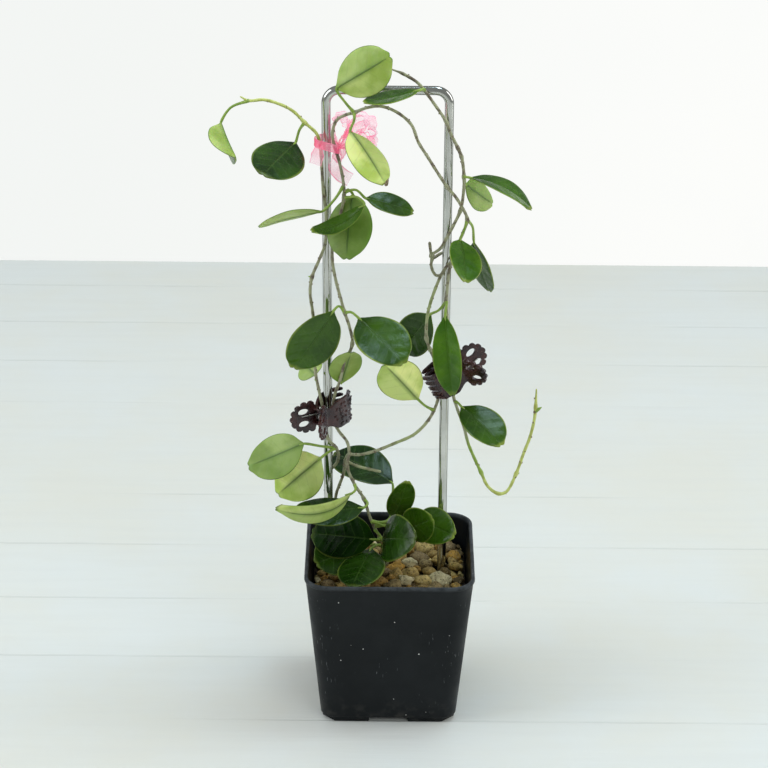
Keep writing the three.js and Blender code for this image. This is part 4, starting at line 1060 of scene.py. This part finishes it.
# Each strip: its path, the widths along it, the direction across it, ruffle, tone and seed
KNOT = (-27.5, 6.2, 311)
RIBBON_STRIPS = [
    ([KNOT, (-24, 8, 318), (-17, 9.3, 325.5), (-11, 9.8, 323), (-9, 9, 316.5), (-14.5, 7.6, 311.5),
      (-22, 6.8, 310.5), KNOT], [1.5, 7, 11, 12, 11, 7, 1.5], (0, 1, 0.25), 1.5, 0.15, 1),
    ([KNOT, (-30.2, 7.6, 318.5), (-28.8, 8.3, 327), (-24.2, 8.6, 325.5), (-23.8, 7.8, 317.5), KNOT],
     [1.5, 6, 10, 10, 6, 1.5], (0, 1, 0.1), 1.3, 0.2, 2),
    ([KNOT, (-22.5, 6.8, 314.5), (-16.5, 7.4, 318.5), (-13.5, 7.6, 315), (-17.5, 6.6, 311), KNOT],
     [1.5, 5, 7, 7, 5, 1.5], (0, 1, 0.3), 1.0, 0.35, 3),
    ([KNOT, (-21.5, 8, 319.5), (-14.5, 8.6, 321.6), (-10.2, 8.6, 317.5), (-12.6, 8, 312.6), (-19, 7.2, 312), KNOT],
     [1.5, 6, 8.5, 9, 7, 5, 1.5], (0.1, 1, 0.4), 1.3, 0.12, 7),
    ([KNOT, (-23, 9.2, 320), (-20, 9.8, 326.2), (-14.6, 9.9, 326.3), (-14, 9.2, 321.4), (-19.4, 8.2, 316.5), KNOT],
     [1.5, 5, 8, 8, 6, 1.5], (0.3, 1, -0.3), 1.2, 0.1, 8),
    ([KNOT, (-30.6, 8.6, 316.5), (-31, 9, 322.5), (-27, 9.2, 326.6), (-23.8, 8.8, 322), (-25.4, 7.8, 316), KNOT],
     [1.5, 5, 7, 8, 6, 1.5], (0.35, 1, 0.3), 1.2, 0.1, 9),
    ([KNOT, (-26.8, 6.4, 316), (-22.6, 6.4, 318.2), (-20.4, 6.4, 315.4), (-23.6, 6.2, 312.8), KNOT],
     [1.5, 4, 5, 5, 3.5, 1.5], (0.5, 0.8, 0.6), 0.8, 0.8, 10),
    ([KNOT, (-29.6, 5.9, 307.5), (-27.4, 5.7, 304.6), (-25.4, 5.9, 307.4), KNOT],
     [1.5, 4.5, 5.5, 4.5, 1.5], (0.6, 0.9, 0.2), 0.7, 0.5, 11),
    ([KNOT, (-28.8, 6.4, 305), (-29.5, 6.4, 300.5), (-26.5, 6.2, 296.5), (-22, 6.2, 293.8)],
     [1.5, 5, 7, 7.5, 7], (1, 0.3, 0.4), 0.9, 0.25, 4),
    ([(-37.6, -0.3, 315.5), (-38.4, -1.3, 310), (-39.6, -1.9, 304.8)], [3, 6.5, 6.5], (1, -0.35, 0), 0.9, 0.3, 5),
]


def make_ribbon():
    build = Build()
    for row in RIBBON_STRIPS:
        ribbon_strip(build, *row)
    # The band goes round the rod and the two stems beside it
    ring = []
    for x, y, r in ((-34.25, HOOP_Y, ROD_RADIUS), (-37.8, 1.4, 1.45), (-29.6, 2.9, 1.35)):
        ring += [Vector(p) for p in circle(x, y, r + 1.0, 24)]
    hull = [ring[i] for i in convex_hull_2d(ring)]
    loop = [(p.x, p.y, 314 - 0.35 * (p.x + 34.25)) for p in hull]
    ribbon_strip(build, loop + [loop[0]], [4.2] * 7, (0, 0.05, 1), 0.22, 0.85, 6)
    obj = build.make("ribbon_organza", [ORGANZA], "root", ("ribbon_tie",))


make_ribbon()


# Stage, light and camera
def painted_boards():
    """Pale boards across the view, with a faint fibre and worn seams."""
    net = Net("painted_boards")
    y = net.split(net.place())[1]
    fibre = net.noise(9, 5, 0.6, net.stretched((1.0, 14.0, 1.0)))
    turn = net.math("FRACT", net.math("MULTIPLY_ADD", y, 1 / BOARD_WIDTH, 0.5))
    seam = net.ramp(net.abs(net.math("SUBTRACT", turn, 0.5)), 0.482, 0.496)
    gap = net.mul(seam, net.spots(5, 2, 0.42, 0.6))
    cloud = net.ramp(net.noise(6, 5, 0.6), 0.3, 0.7)
    colour = net.layers(net.mix(cloud, (0.735, 0.735, 0.675), (0.735, 0.765, 0.755)),
                        (net.ramp(fibre, 0.4, 0.7), 0.16, (0.66, 0.675, 0.655)), (gap, 0.32, (0.50, 0.52, 0.50)))
    return net.done(colour, 0.5, net.total((fibre, 0.7), (gap, -1.0)), 0.0012, 0.35)


def slab(name, low, high, material):
    v = [(x, y, z) for x in (low[0], high[0]) for y in (low[1], high[1]) for z in (low[2], high[2])]
    f = [(0, 1, 3, 2), (4, 6, 7, 5), (0, 4, 5, 1), (2, 3, 7, 6), (0, 2, 6, 4), (1, 5, 7, 3)]
    obj = new_object(name, v, f, [material])


def lit_wall():
    net = Net("lit_wall")
    x = net.split(net.place())[0]
    glow = net.layers(net.mix(net.ramp(x, -0.7, 0.7), (0.885, 0.905, 0.885), (0.965, 0.97, 0.95)),
                      (net.spots(2, 3, 0.3, 0.7), 0.25, (0.90, 0.92, 0.915)))
    return net.done((0.02, 0.02, 0.02, 1), 1.0, Emission_Color=glow, Emission_Strength=1.0)


slab("stage_floor", (-3, -2.4, -0.02), (3, 0.63, 0.0), painted_boards())
slab("stage_wall", (-3, 4.0, -3.0), (3, 4.05, 1.0), lit_wall())


def area_light(name, place, aim, size, power, colour, glossy=True):
    light = bpy.data.lights.new(name, "AREA")
    light.shape, light.size, light.size_y = "RECTANGLE", *size
    light.energy, light.color = power, colour
    obj = bpy.data.objects.new(name, light)
    obj.visible_glossy = glossy
    aimed = (Vector(aim) - Vector(place)).to_track_quat("-Z", "Y").to_matrix().to_4x4()
    obj.matrix_world = Matrix.Translation(place) @ aimed
    bpy.context.scene.collection.objects.link(obj)


area_light("window_left", (-1.25, -0.25, 0.95), (0, 0, 0.17), (0.8, 1.0), 8.5, (0.94, 0.98, 1.0))
area_light("soft_right", (1.5, 0.1, 0.8), (0, 0, 0.17), (0.5, 1.2), 8.0, (1.0, 0.985, 0.96))
area_light("sky_top", (0, 0.1, 1.7), (0, 0.05, 0.1), (2.6, 2.0), 17, (0.97, 0.99, 1.0), glossy=False)
area_light("window_above", (0.32, 0.18, 1.45), (0, 0, 0.2), (0.45, 0.35), 3.6, (0.62, 0.86, 1.0))
area_light("front_fill", (0.9, -1.5, 0.9), (0.1, -0.2, 0.0), (1.0, 0.6), 5, (1.0, 1.0, 0.99), glossy=False)
world = bpy.data.worlds.new("studio")
world.use_nodes = True
glow = world.node_tree.nodes["Background"].inputs
glow[0].default_value, glow[1].default_value = (0.95, 1.0, 0.96, 1), 0.30
bpy.context.scene.world = world

lens = bpy.data.cameras.new("photo_camera")
lens.lens, lens.sensor_width, lens.sensor_fit = 140, 36, "HORIZONTAL"
lens.clip_start, lens.clip_end = 0.05, 20
camera = bpy.data.objects.new("photo_camera", lens)
tilt, roll = Matrix.Rotation(math.radians(66), 4, "X"), Matrix.Rotation(math.radians(0.5), 4, "Z")
camera.matrix_world = Matrix.Translation(metres([-3.84, -1427.5, 818.3])) @ tilt @ roll
bpy.context.scene.collection.objects.link(camera)
bpy.context.scene.camera = camera
bpy.context.scene.view_settings.view_transform = "Standard"
